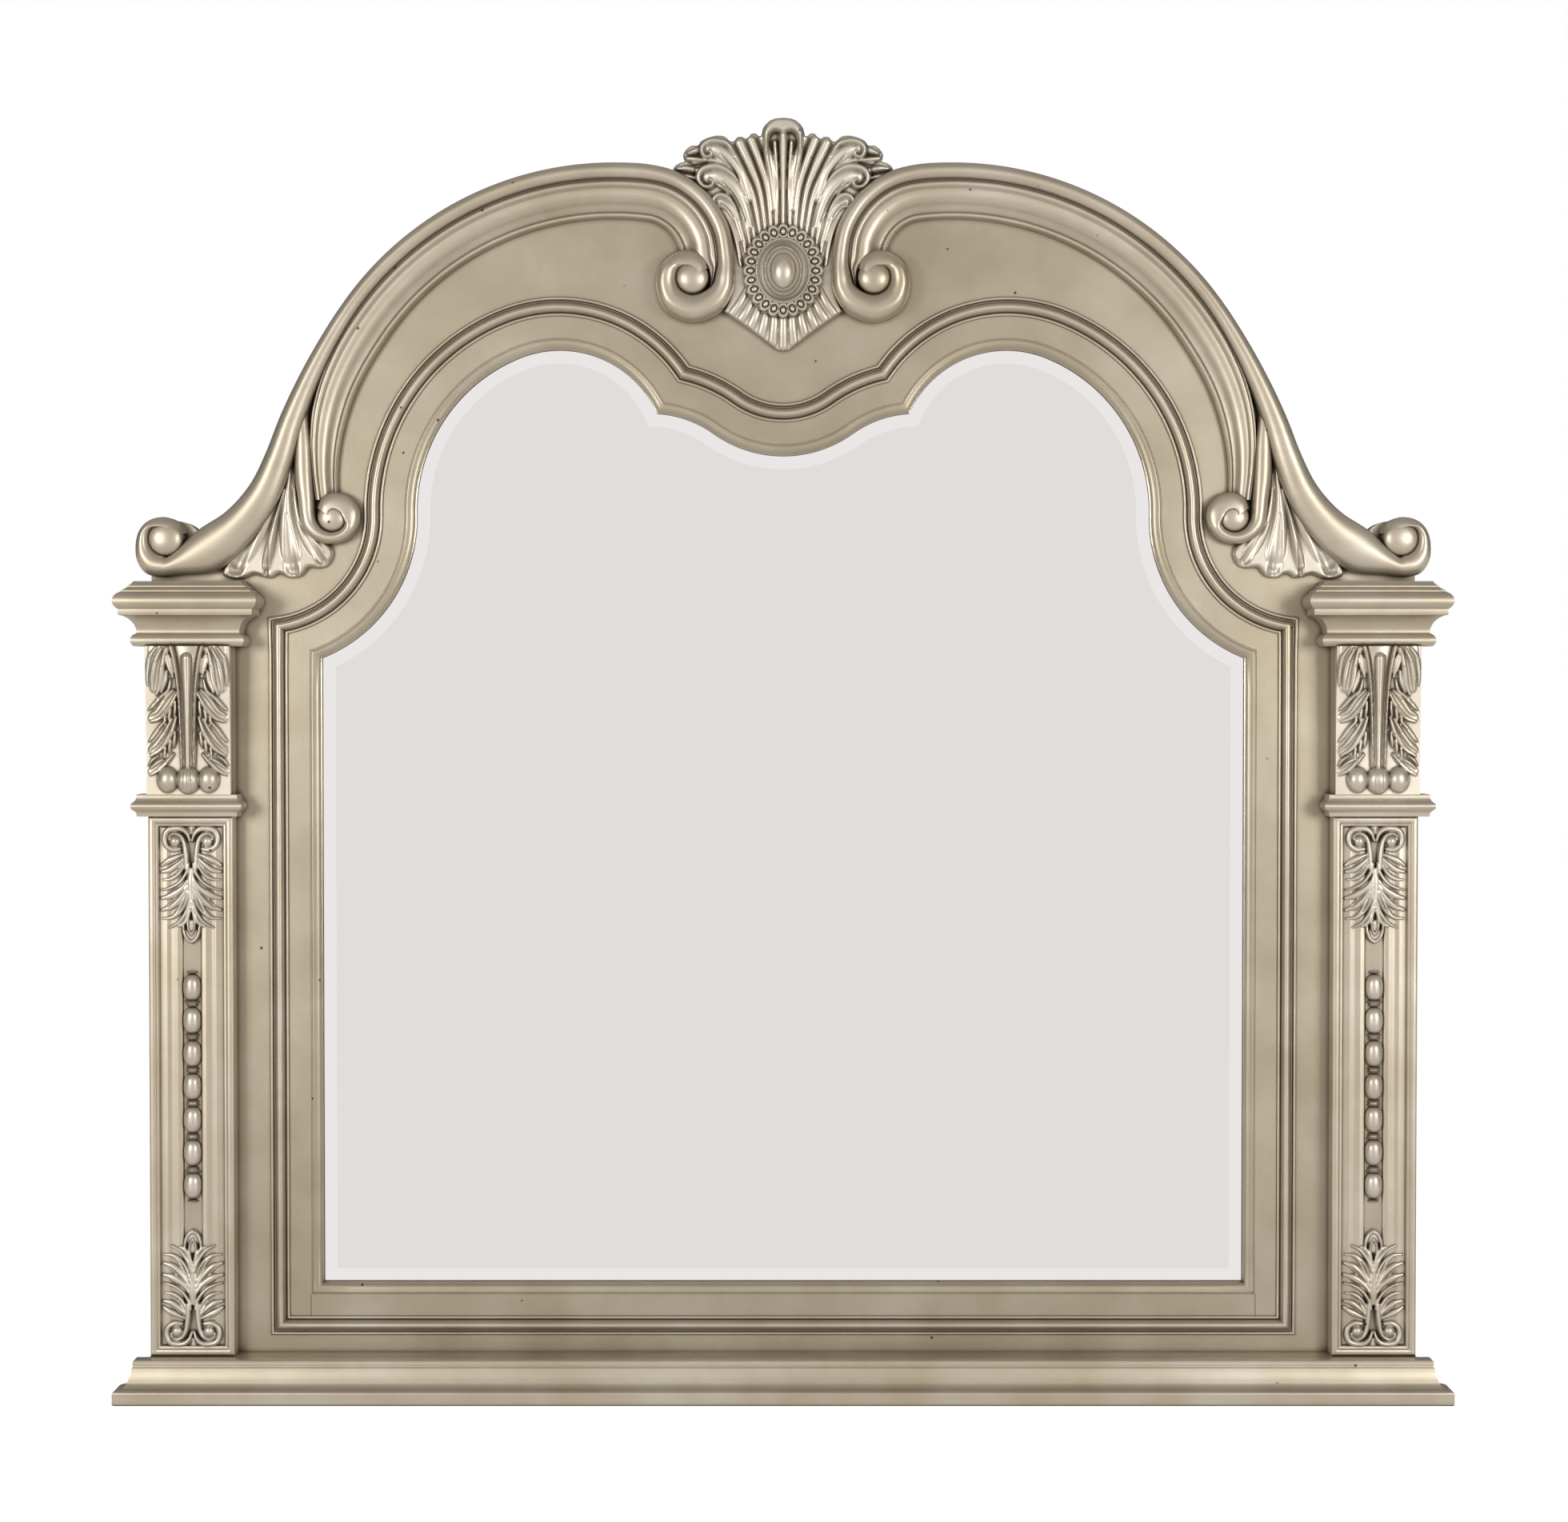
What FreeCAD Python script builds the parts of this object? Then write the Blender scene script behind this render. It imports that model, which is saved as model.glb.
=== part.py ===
import FreeCAD
import Part
import math
import os

os.makedirs("parts", exist_ok=True)
V = FreeCAD.Vector

# Lengths are in millimetres, angles in degrees. +X is right, +Z is up and the front faces -Y.
# h is the height of a point above the flat face of the frame boards, towards the viewer.

# main sizes
SIGHT_SIDE_HEIGHT = 595.0
SIGHT_BOTTOM = 104.3
HEAD_UNIT = 100.0
FIELD_WIDTH = 79.5
PILASTER_WIDTH = 80.0
BOARD = 24.0
BACKING = 5.0

# curves of the mirror opening, from the middle of the head down to the shoulder on the right
KEY_RADIUS_SHARE = 1.137
LOBE_RADIUS_SHARE = 1.017
LOBE_SIDE_RADIUS_SHARE = 1.568
SHOULDER_RADIUS_SHARE = 1.436
KEY_TURN = 35.6
EAR_TURN = 32.0
EAR_CORNER = 62.2
LOBE_TURN = 87.9
LOBE_SIDE_TURN = 69.0
SHOULDER_TURN = 69.3

# curves of the outer arch, from the crest down to the foot scroll on the right
ARCH_START_SHARE = 1.596
ARCH_RISE_SHARE = 2.727
ARCH_RADIUS_SHARE = 3.11
HAUNCH_RADIUS_SHARE = 6.12
SWEEP_RADIUS_SHARE = 1.284
CREST_RADIUS_SHARE = 0.88
ARCH_TURN = 55.4
HAUNCH_TURN = 14.7
SWEEP_TURN = 43.8
CREST_ARC_TURN = 6.7

# frame round the glass
FRAME_JOINT = 38.0
LIP_WALL = 6.0
LIP_WIDTH = 7.0
LIP_DROP = 3.0
LIP_STEP_SHARE = 1.3
LIP_HOLLOW_SHARE = 0.2
LIP_EDGE_SHARE = 0.7
RABBET_DEPTH = 10.0
RABBET_COVER = 10.0
GLASS = 5.0
GLASS_PLAY = 1.0
BEVEL_WIDTH = 24.0
BEVEL_DROP = 3.0
STRIP_WIDTH = 12.0
CROWN_OVERLAP = 9.0

# bead moulding over the joint between the frame and the field
BEAD_START = 30.5
BEAD_LIP = 2.4
BEAD_QUIRK = 1.2
BEAD_ROLL = 9.8
BEAD_HEIGHT = 7.0
BEAD_FILLET = 3.4
BEAD_FILLET_HEIGHT = 2.6

# arch moulding
ROLL_WIDTH = 15.0
ROLL_HEIGHT = 24.0
ROLL_EDGE = 9.0
SECOND_WIDTH = 11.0
SECOND_HEIGHT = 22.0
COVE_WIDTH = 12.0
COVE_FLOOR = 8.5
INNER_WIDTH = 12.0
INNER_HEIGHT = 14.0
QUIRK = 4.0
ROLL_CREST_SHARE = 0.42
COVE_MIDDLE_SHARE = 0.35
BOARD_INSET = 3.0
CREST_DROP = 22.0
CREST_EYE = 35.0
CREST_EYE_HEIGHT = 27.0
CREST_BALL = 13.5
FOOT_EYE = 27.5
FOOT_EYE_HEIGHT = 25.0
FOOT_BALL = 13.5
FOOT_LEAD = 16.0
FOOT_REACH = 14.2
FOOT_DROP = 7.9
INNER_EYE = 24.0
INNER_EYE_HEIGHT = 17.0
INNER_BALL = 12.0
INNER_SWEEP_SHARE = 4.17
INNER_SWEEP_TURN = 19.6
INNER_END_SHARE = 2.19

# shell fan beside the foot scroll
FAN_PLATE = 7.0
FAN_TOP_RADIUS = 3.0
FAN_BALL = 10.5
FAN_APEX_SHARES = (-1.3, 1.1)
FAN_TOP_SHARE = 0.75
FAN_END_SHARES = ((-0.7, -0.17), (-0.99, -0.15), (-1.26, -0.11), (-1.48, -0.01))

# crest shell and its rosette, shares of the head unit from the start of the arch
CREST_PLATE = 16.0
CREST_EDGE_SHARES = ((1.03, -0.07), (0.95, 0.05), (0.88, 0.12), (0.7, 0.21), (0.44, 0.2), (0.28, 0.24))
CREST_POINT_SHARE = 1.74
CREST_JOINT_ANGLE = 75.0
CREST_MIDDLE_ANGLE = 38.0
CREST_SHOULDER_SHARES = (0.53, -1.34)
CREST_BELLY_SHARES = (0.25, -1.62)
CREST_CURL = 16.5
CREST_CURL_SHARE = 0.26
CREST_RIB_COUNT = 9
CREST_RIB_SPREAD_SHARE = 0.74
CREST_RIB_TOP_SHARE = 0.14
CREST_RIB_SAG_SHARE = 0.1
CREST_RIB_TOP = 7.5
CREST_RIB_ROOT = 3.5
CREST_SCROLL_SHARES = ((0.72, 0.1, 10.0), (0.9, 0.0, 8.0))
LOW_RIB_COUNT = 5
LOW_RIB_SPREAD_SHARE = 0.36
LOW_RIB_SHARE = -1.52
LOW_RIB_SAG_SHARE = 0.14
LOW_RIB = 5.0
ROSETTE_DROP_SHARE = 0.99
ROSETTE_WIDTH = 32.5
ROSETTE_LENGTH = 38.5
ROSETTE_THICK = 6.0
SCALLOP = 5.5
SCALLOP_COUNT = 20
RING_OUTER_SHARE = 0.76
RING_INNER_SHARE = 0.6
RING_RISE = 3.0
DOME_SHARE = 0.42
DOME_RISE = 9.0

# pilaster
PILASTER_THICK = 22.0
PANEL_RIM = 9.5
PANEL_DEPTH = 3.5
PANEL_END = 9.0
REED_RISE = 2.6
REED_GROOVE = 9.5
GROOVE_DEPTH = 5.0
LEAF_LENGTH = 112.0
LEAF_THICK = 5.0
LEAF_BALL = 7.0
LEAF_BALL_SHARES = (0.54, 0.15)
LEAF_RIB = 4.0
LEAF_RIB_TIP = 1.5
LEAF_LOBE_SHARES = (
    (1.0, 0.14, 0.78, 0.27), (0.94, 0.38, 0.66, 0.5), (0.74, 0.62, 0.42, 0.73), (0.34, 0.87, 0.0, 1.0),
)
PEARL_COUNT = 7
PEARL_PITCH_SHARE = 0.1162
PEARL_LENGTH_SHARE = 0.865
PEARL_RADIUS = 8.4
PEARL_NECK = 2.6

# neck, corbel and capital
NECK_HEIGHT = 20.7
NECK_SHIFT = 3.5
CORBEL_HEIGHT = 139.0
CORBEL_INSET = 1.5
CORBEL_TOP_REACH = 20.0
CORBEL_LOW_REACH = 9.0
SPINE_TOP = 11.5
SPINE_LOW = 8.0
CORBEL_BALL = 9.5
CORBEL_BALL_PITCH = 20.0
CORBEL_BALL_LIFT = 14.0
CORBEL_FOOT = 28.0
HOLLOW_REACH_SHARE = 1.25
HOLLOW_RISE_SHARE = 0.62
SPINE_SINK_SHARE = 0.3
CAPITAL_HEIGHT = 60.9
CAPITAL_RISE = 71.3
CAPITAL_REACH = 27.0
NECK_REACH = 13.5

# sections of neck, capital and base, in shares of their reach and height
NECK_SHARES = (
    (0.0, 0.0), (0.62, 0.0), (0.7, 0.22), (0.82, 0.29), (1.0, 0.46, 0.85, 0.66), (0.74, 0.73), (0.63, 1.0),
    (0.0, 1.0),
)
CAPITAL_SHARES = (
    (0.0, 0.0), (0.36, 0.0), (0.47, 0.09, 0.36, 0.18), (0.28, 0.205), (0.4, 0.4, 0.76, 0.49), (0.82, 0.49),
    (0.82, 0.58), (0.88, 0.6), (1.0, 0.73, 0.68, 0.885), (0.53, 0.9), (0.46, 0.96, 0.33, 1.0), (0.0, 1.0),
)
BASE_SHARES = (
    (0.0, 0.0), (1.0, 0.0), (1.0, 0.334), (0.92, 0.334), (0.72, 0.394, 0.52, 0.568),
    (0.401, 0.702, 0.392, 0.848), (0.427, 0.873), (0.427, 1.0), (0.0, 1.0),
)

# base
BASE_HEIGHT = 39.5
PLINTH_CORE = 26.5
PLINTH_REACH = 29.3

# fastenings
DOWEL_RADIUS = 4.0
DOWEL_LENGTH = 50.0
CROWN_DOWEL_SHARES = (-0.25, 0.25)
RAIL_DOWEL_SHARES = (0.3, 0.7)
BACKING_MARGIN = 58.0
BACKING_BOTTOM = 46.0
BACKING_RISE = 60.0
BACKING_CROWN = 385.0
SCREW_RADIUS = 2.0
SCREW_LENGTH = 14.0
SCREW_HEAD_RADIUS = 4.2
SCREW_HEAD = 2.2
SCREW_INSET = 10.0
SIDE_SCREW_SHARES = (0.0, 0.33, 0.67, 1.0)
LOW_SCREW_SHARES = (0.33, 0.75)
CROWN_SCREW_ANGLES = (-46.0, -14.0, 14.0, 46.0)
INSERT_RADIUS = 5.0
INSERT_BORE = 3.0
INSERT_LENGTH = 15.0
INSERT_LOW = 60.0
INSERT_RISE = 200.0

# how far runs go past their ends before a mitre trims them
FRAME_MITRE = 60.0
BEAD_MITRE = 90.0
MITRE_BOX_SHARE = 6.0
MITRE_STEPS = 6
QUARTER_TURN = 90.0
HALF_TURN = 180.0
TINY = 0.01
BIG = 4000.0
BLOCK_SPARE = 1000.0


def heading_vector(angle):
    return math.cos(math.radians(angle)), math.sin(math.radians(angle))


class Path:
    """A front-view line of tangent arcs, straight runs and corners."""

    def __init__(self, x, z, heading, steps, mitre_at=0.0):
        self.parts = []
        corner = 0.0
        for kind, size, turn in steps:
            if kind == "corner":
                corner = turn
                heading += turn
                continue
            part = {"kind": kind, "x": x, "z": z, "heading": heading, "size": size,
                    "turn": turn, "start_mitre": None, "end_mitre": None}
            if corner:
                part["start_mitre"] = mitre_heading(self.parts[-1], part, mitre_at)
                self.parts[-1]["end_mitre"] = part["start_mitre"]
            corner = 0.0
            self.parts.append(part)
            x, z, heading = part_end(part)
        self.x = x
        self.z = z
        self.heading = heading

    def cut_out(self, first, last):
        """Part of the path as a path of its own, which keeps its mitres."""
        piece = Path(self.x, self.z, self.heading, [])
        piece.parts = self.parts[first:last]
        piece.x, piece.z, piece.heading = part_end(piece.parts[-1])
        return piece


def arc_centre(part):
    """Centre of an arc part: on the left of the heading for a left turn."""
    cos_h, sin_h = heading_vector(part["heading"])
    sign = 1.0 if part["turn"] > 0 else -1.0
    return part["x"] - sign * part["size"] * sin_h, part["z"] + sign * part["size"] * cos_h


def part_end(part):
    cos_h, sin_h = heading_vector(part["heading"])
    if part["kind"] == "line":
        return part["x"] + part["size"] * cos_h, part["z"] + part["size"] * sin_h, part["heading"]
    cx, cz = arc_centre(part)
    cos_t, sin_t = heading_vector(part["turn"])
    dx = part["x"] - cx
    dz = part["z"] - cz
    return cx + dx * cos_t - dz * sin_t, cz + dx * sin_t + dz * cos_t, part["heading"] + part["turn"]


def normal_at(part, x, z):
    """Left-hand distance of a point from a part, and the direction in which it grows."""
    if part["kind"] == "line":
        cos_h, sin_h = heading_vector(part["heading"])
        return (z - part["z"]) * cos_h - (x - part["x"]) * sin_h, (-sin_h, cos_h)
    cx, cz = arc_centre(part)
    sign = -1.0 if part["turn"] > 0 else 1.0
    length = math.hypot(x - cx, z - cz)
    return sign * (length - part["size"]), (sign * (x - cx) / length, sign * (z - cz) / length)


def mitre_heading(before, after, reference):
    """Heading square to the mitre that joins two parts best at a reference distance."""
    x, z = after["x"], after["z"]
    first = normal_at(before, x, z)[1]
    second = normal_at(after, x, z)[1]
    spread = 1.0 + first[0] * second[0] + first[1] * second[1]
    reference = reference or TINY
    x += reference * (first[0] + second[0]) / spread
    z += reference * (first[1] + second[1]) / spread
    for _ in range(MITRE_STEPS):
        d1, g1 = normal_at(before, x, z)
        d2, g2 = normal_at(after, x, z)
        cross = g1[0] * g2[1] - g1[1] * g2[0]
        x += ((reference - d1) * g2[1] - (reference - d2) * g1[1]) / cross
        z += ((reference - d2) * g1[0] - (reference - d1) * g2[0]) / cross
    return math.degrees(math.atan2(z - after["z"], x - after["x"])) - QUARTER_TURN


def point(x, z, h):
    return V(x, FIELD_Y - h, z)


def profile_face(profile, x, z, heading, side):
    """Face of a moulding section standing across the path. t runs to the given side."""
    cos_h, sin_h = heading_vector(heading)

    def at(t, h):
        return point(x - side * t * sin_h, z + side * t * cos_h, h)

    edges = []
    first = profile[0]
    last = first
    for item in profile[1:] + [first]:
        end = item[-2:]
        if len(item) == 4:
            edges.append(Part.Arc(at(*last), at(*item[:2]), at(*end)).toShape())
        else:
            edges.append(Part.makeLine(at(*last), at(*end)))
        last = end
    return Part.Face(Part.Wire(edges))


def stretched(part, before, after):
    """The same part carried on past its ends, for a mitre."""
    longer = dict(part)
    if part["kind"] == "line":
        cos_h, sin_h = heading_vector(part["heading"])
        longer["x"] -= before * cos_h
        longer["z"] -= before * sin_h
        longer["size"] += before + after
        return longer
    sign = 1.0 if part["turn"] > 0 else -1.0
    back = sign * math.degrees(before / part["size"])
    cx, cz = arc_centre(part)
    cos_t, sin_t = heading_vector(-back)
    dx = part["x"] - cx
    dz = part["z"] - cz
    longer["x"] = cx + dx * cos_t - dz * sin_t
    longer["z"] = cz + dx * sin_t + dz * cos_t
    longer["heading"] -= back
    longer["turn"] += back + sign * math.degrees(after / part["size"])
    return longer


def half_space(x, z, heading, size):
    """A box whose near face stands on the path point, square to the heading."""
    box = Part.makeBox(size, size, size, V(0, -size / 2, -size / 2))
    box.rotate(V(0, 0, 0), V(0, -1, 0), heading)
    box.translate(V(x, FIELD_Y, z))
    return box


def sweep(path, profile, side=1.0, reach=FRAME_MITRE):
    """Solid of a moulding along a path, each part extruded or revolved, corners mitred."""
    solids = []
    for part in path.parts:
        start, end = part["start_mitre"], part["end_mitre"]
        run = stretched(part, 0.0 if start is None else reach, 0.0 if end is None else reach)
        face = profile_face(profile, run["x"], run["z"], run["heading"], side)
        if run["kind"] == "line":
            cos_h, sin_h = heading_vector(run["heading"])
            solid = face.extrude(V(cos_h * run["size"], 0, sin_h * run["size"]))
        else:
            cx, cz = arc_centre(run)
            axis = V(0, -1, 0) if run["turn"] > 0 else V(0, 1, 0)
            solid = face.revolve(point(cx, cz, 0), axis, abs(run["turn"]))
        if start is not None:
            solid = solid.cut(half_space(part["x"], part["z"], start + HALF_TURN, reach * MITRE_BOX_SHARE))
        if end is not None:
            ex, ez, _ = part_end(part)
            solid = solid.cut(half_space(ex, ez, end, reach * MITRE_BOX_SHARE))
        solids.append(solid)
    return joined(solids)


def joined(shapes):
    if len(shapes) == 1:
        return shapes[0]
    return shapes[0].multiFuse(shapes[1:]).removeSplitter()


def mirrored(shape):
    return shape.mirror(V(0, 0, 0), V(1, 0, 0))


def plate(face, h_low, h_high):
    """A front-view face made into a board between two heights."""
    moved = face.copy()
    moved.translate(V(0, -h_low, 0))
    return moved.extrude(V(0, h_low - h_high, 0))


def edges_of(path):
    """Front-view edges of a path at h = 0."""
    edges = []
    for part in path.parts:
        ex, ez, _ = part_end(part)
        first = point(part["x"], part["z"], 0)
        if part["kind"] == "line":
            edges.append(Part.makeLine(first, point(ex, ez, 0)))
            continue
        half = dict(part, turn=part["turn"] / 2)
        mx, mz, _ = part_end(half)
        edges.append(Part.Arc(first, point(mx, mz, 0), point(ex, ez, 0)).toShape())
    return edges


def outline_face(points):
    """Front-view face through (x, z) points, where a four number entry is an arc by its middle."""
    edges = []
    last = points[0]
    for item in points[1:] + [points[0]]:
        end = item[-2:]
        if len(item) == 4:
            edges.append(Part.Arc(point(*last, 0), point(*item[:2], 0), point(*end, 0)).toShape())
        elif abs(last[0] - end[0]) + abs(last[1] - end[1]) > TINY:
            edges.append(Part.makeLine(point(*last, 0), point(*end, 0)))
        last = end
    return Part.Face(Part.Wire(edges))


def block(x0, x1, z0, z1, h0, h1):
    return Part.makeBox(x1 - x0, h1 - h0, z1 - z0, V(x0, FIELD_Y - h1, z0))


def disc(x, z, radius, h0, h1):
    return Part.makeCylinder(radius, h1 - h0, point(x, z, h0), V(0, -1, 0))


def ball(x, z, h, radius):
    return Part.makeSphere(radius, point(x, z, h), V(0, -1, 0))


def front_of(shape, h):
    """What lies in front of height h."""
    return shape.cut(block(-BIG, BIG, -BIG, BIG, h - BIG, h))


def cone_between(first, second, r1, r2):
    """Cone with its axis from one (x, z, h) point to another."""
    a = point(*first)
    b = point(*second)
    if abs(r1 - r2) < TINY:
        return Part.makeCylinder(r1, (b - a).Length, a, b - a)
    return Part.makeCone(r1, r2, (b - a).Length, a, b - a)


def save(shape, name):
    shape.exportStep("parts/" + name + ".step")


def save_pair(shape, name):
    """The right-hand piece as modelled, and its mirror image on the left."""
    save(shape, name + "_right")
    save(mirrored(shape), name + "_left")


# levels that follow from the sizes
BACK_DEPTH = BOARD + BACKING + SCREW_HEAD
PLINTH_FRONT = PLINTH_CORE + PLINTH_REACH
FIELD_Y = (PLINTH_FRONT - BACK_DEPTH) / 2
SHOULDER_Z = SIGHT_BOTTOM + SIGHT_SIDE_HEIGHT
CAPITAL_TOP = SHOULDER_Z + CAPITAL_RISE
CAPITAL_BOTTOM = CAPITAL_TOP - CAPITAL_HEIGHT
CORBEL_BOTTOM = CAPITAL_BOTTOM - CORBEL_HEIGHT
PILASTER_TOP = CORBEL_BOTTOM - NECK_HEIGHT
CROWN_BOTTOM = SHOULDER_Z - CROWN_OVERLAP
PEARL_ROOM = PILASTER_TOP - BASE_HEIGHT - 2 * PANEL_END - 2 * LEAF_LENGTH
PEARL_PITCH = PEARL_PITCH_SHARE * PEARL_ROOM
PEARL_LENGTH = PEARL_LENGTH_SHARE * PEARL_PITCH

head_steps = [
    ("arc", KEY_RADIUS_SHARE * HEAD_UNIT, KEY_TURN),
    ("arc", LOBE_RADIUS_SHARE * HEAD_UNIT, -EAR_TURN),
    ("corner", 0.0, EAR_CORNER),
    ("arc", LOBE_RADIUS_SHARE * HEAD_UNIT, -LOBE_TURN),
    ("arc", LOBE_SIDE_RADIUS_SHARE * HEAD_UNIT, -LOBE_SIDE_TURN),
    ("arc", SHOULDER_RADIUS_SHARE * HEAD_UNIT, SHOULDER_TURN),
]
head_trial = Path(0.0, 0.0, 0.0, head_steps)
KEY_Z = SHOULDER_Z - head_trial.z
SIGHT_HALF = head_trial.x
PILASTER_INNER = SIGHT_HALF + FIELD_WIDTH
PILASTER_X = PILASTER_INNER + PILASTER_WIDTH / 2
OUTER_X = PILASTER_INNER + PILASTER_WIDTH
sight_steps = head_steps + [
    ("corner", 0.0, -90.0 - head_trial.heading),
    ("line", SIGHT_SIDE_HEIGHT, 0.0),
    ("corner", 0.0, -90.0),
    ("line", SIGHT_HALF, 0.0),
]
sight_path = Path(0.0, KEY_Z, 0.0, sight_steps, mitre_at=FRAME_JOINT)
head_path = sight_path.cut_out(0, -2)
side_path = sight_path.cut_out(-2, -1)
bottom_path = sight_path.cut_out(-1, None)

# the mirror opening as one face
half_edges = edges_of(sight_path)
sight_wire = Part.Wire(Part.__sortEdges__(half_edges + [mirrored(edge) for edge in half_edges]))
sight_face = Part.Face(sight_wire)


def band(profile, path=sight_path):
    """A section carried all the way round the opening, right half and left half."""
    half = sweep(path, profile)
    return [half, mirrored(half)]


def filled(t, h0, h1):
    """The opening made larger by t on every side, as a board between two heights."""
    edge = band([(-LIP_WIDTH, h0), (-LIP_WIDTH, h1), (t, h1), (t, h0)])
    return joined([plate(sight_face, h0, h1)] + edge)


# outer arch line, kept for the board edge and for the moulding
ARCH_TOP_Z = KEY_Z + ARCH_RISE_SHARE * HEAD_UNIT
ARCH_RADIUS = ARCH_RADIUS_SHARE * HEAD_UNIT
ARCH_X = ARCH_START_SHARE * HEAD_UNIT
CREST_RADIUS = CREST_RADIUS_SHARE * HEAD_UNIT
crest_cos, crest_sin = heading_vector(CREST_ARC_TURN)
CREST_START_X = ARCH_X - ARCH_RADIUS * crest_sin
CREST_START_Z = ARCH_TOP_Z - ARCH_RADIUS * (1 - crest_cos)


def board_face():
    """Outline of the whole frame board above the crown joint, a little inside the mouldings."""
    start_x = CREST_START_X
    start_z = CREST_START_Z - BOARD_INSET
    line = Path(start_x, start_z, CREST_ARC_TURN, [
        ("arc", ARCH_RADIUS - BOARD_INSET, -CREST_ARC_TURN - ARCH_TURN),
        ("arc", HAUNCH_RADIUS_SHARE * HEAD_UNIT - BOARD_INSET, -HAUNCH_TURN),
        ("arc", SWEEP_RADIUS_SHARE * HEAD_UNIT + BOARD_INSET, SWEEP_TURN),
    ])
    right = edges_of(line)
    right.append(Part.makeLine(point(line.x, line.z, 0), point(line.x, CROWN_BOTTOM, 0)))
    left = [mirrored(edge) for edge in right]
    top = Part.makeLine(point(start_x, start_z, 0), point(-start_x, start_z, 0))
    low = Part.makeLine(point(line.x, CROWN_BOTTOM, 0), point(-line.x, CROWN_BOTTOM, 0))
    return Part.Face(Part.Wire(Part.__sortEdges__(right + [top, low] + left)))


# from beside the crest scroll over the shell edge and down to the haunch
CREST_X = CREST_START_X - CREST_RADIUS * (1 - crest_sin)
CREST_Z = CREST_START_Z - CREST_RADIUS * crest_cos
CREST_EYE_X = CREST_X + CREST_EYE
CREST_EYE_Z = CREST_Z - CREST_DROP
arch_path = Path(CREST_X, CREST_EYE_Z, QUARTER_TURN, [
    ("line", CREST_DROP, 0.0),
    ("arc", CREST_RADIUS, CREST_ARC_TURN - QUARTER_TURN),
    ("arc", ARCH_RADIUS, -CREST_ARC_TURN - ARCH_TURN),
])
tail_path = Path(arch_path.x, arch_path.z, arch_path.heading, [
    ("arc", HAUNCH_RADIUS_SHARE * HEAD_UNIT, -HAUNCH_TURN),
    ("arc", SWEEP_RADIUS_SHARE * HEAD_UNIT, SWEEP_TURN),
    ("line", FOOT_LEAD, 0.0),
])
FOOT_X = tail_path.x + FOOT_REACH
FOOT_Z = tail_path.z - FOOT_DROP


# frame boards
def dowel_spots():
    """Centre and direction of the dowels on the right-hand side."""
    spots = []
    for share in CROWN_DOWEL_SHARES:
        x = (SIGHT_HALF + FRAME_JOINT + OUTER_X) / 2 + share * (OUTER_X - SIGHT_HALF - FRAME_JOINT)
        spots.append((point(x, CROWN_BOTTOM - DOWEL_LENGTH / 2, -BOARD / 2), V(0, 0, 1)))
    for share in RAIL_DOWEL_SHARES:
        z = share * (SIGHT_BOTTOM - FRAME_JOINT)
        spots.append((point(SIGHT_HALF + FRAME_JOINT - DOWEL_LENGTH / 2, z, -BOARD / 2), V(1, 0, 0)))
    return spots


right_dowels = [Part.makeCylinder(DOWEL_RADIUS, DOWEL_LENGTH, at, way) for at, way in dowel_spots()]
dowels = Part.makeCompound(right_dowels + [mirrored(dowel) for dowel in right_dowels])


def screw_spots():
    """Front-view centres of the screws that hold the backing board."""
    x = SIGHT_HALF + BACKING_MARGIN - SCREW_INSET
    z_low = BACKING_BOTTOM + SCREW_INSET
    z_high = SHOULDER_Z + BACKING_RISE - SCREW_INSET
    spots = [(side * x, z_low + share * (z_high - z_low))
             for side in (-1, 1) for share in SIDE_SCREW_SHARES]
    spots += [(side * share * SIGHT_HALF, z_low) for side in (-1, 1) for share in LOW_SCREW_SHARES]
    radius, centre_z = backing_arc()
    for angle in CROWN_SCREW_ANGLES:
        spots.append(((radius - SCREW_INSET) * heading_vector(angle)[1],
                      centre_z + (radius - SCREW_INSET) * heading_vector(angle)[0]))
    return spots


def backing_arc():
    """Radius and centre height of the curved top of the backing board."""
    half = SIGHT_HALF + BACKING_MARGIN
    rise = BACKING_CROWN - BACKING_RISE
    radius = (half * half + rise * rise) / (2 * rise)
    return radius, SHOULDER_Z + BACKING_CROWN - radius


def backing_outline():
    half = SIGHT_HALF + BACKING_MARGIN
    side_z = SHOULDER_Z + BACKING_RISE
    return outline_face([(-half, BACKING_BOTTOM), (half, BACKING_BOTTOM), (half, side_z),
                         (0.0, SHOULDER_Z + BACKING_CROWN, -half, side_z)])


def screw(x, z):
    head = Part.makeCylinder(SCREW_HEAD_RADIUS, SCREW_HEAD, point(x, z, -BOARD - BACKING), V(0, 1, 0))
    length = SCREW_LENGTH + BACKING
    shank = Part.makeCylinder(SCREW_RADIUS, length, point(x, z, -BOARD - BACKING), V(0, -1, 0))
    return head.fuse(shank)


def insert_spots():
    return [(side * PILASTER_X, INSERT_LOW + lift) for side in (-1, 1) for lift in (0.0, INSERT_RISE)]


def insert_body(x, z):
    outer = Part.makeCylinder(INSERT_RADIUS, INSERT_LENGTH, point(x, z, -BOARD), V(0, -1, 0))
    bore = Part.makeCylinder(INSERT_BORE, INSERT_LENGTH, point(x, z, -BOARD), V(0, -1, 0))
    return outer.cut(bore)


screws = Part.makeCompound([screw(x, z) for x, z in screw_spots()])
inserts = Part.makeCompound([insert_body(x, z) for x, z in insert_spots()])
insert_holes = Part.makeCompound([
    Part.makeCylinder(INSERT_RADIUS, INSERT_LENGTH, point(x, z, -BOARD), V(0, -1, 0))
    for x, z in insert_spots()])


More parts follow.
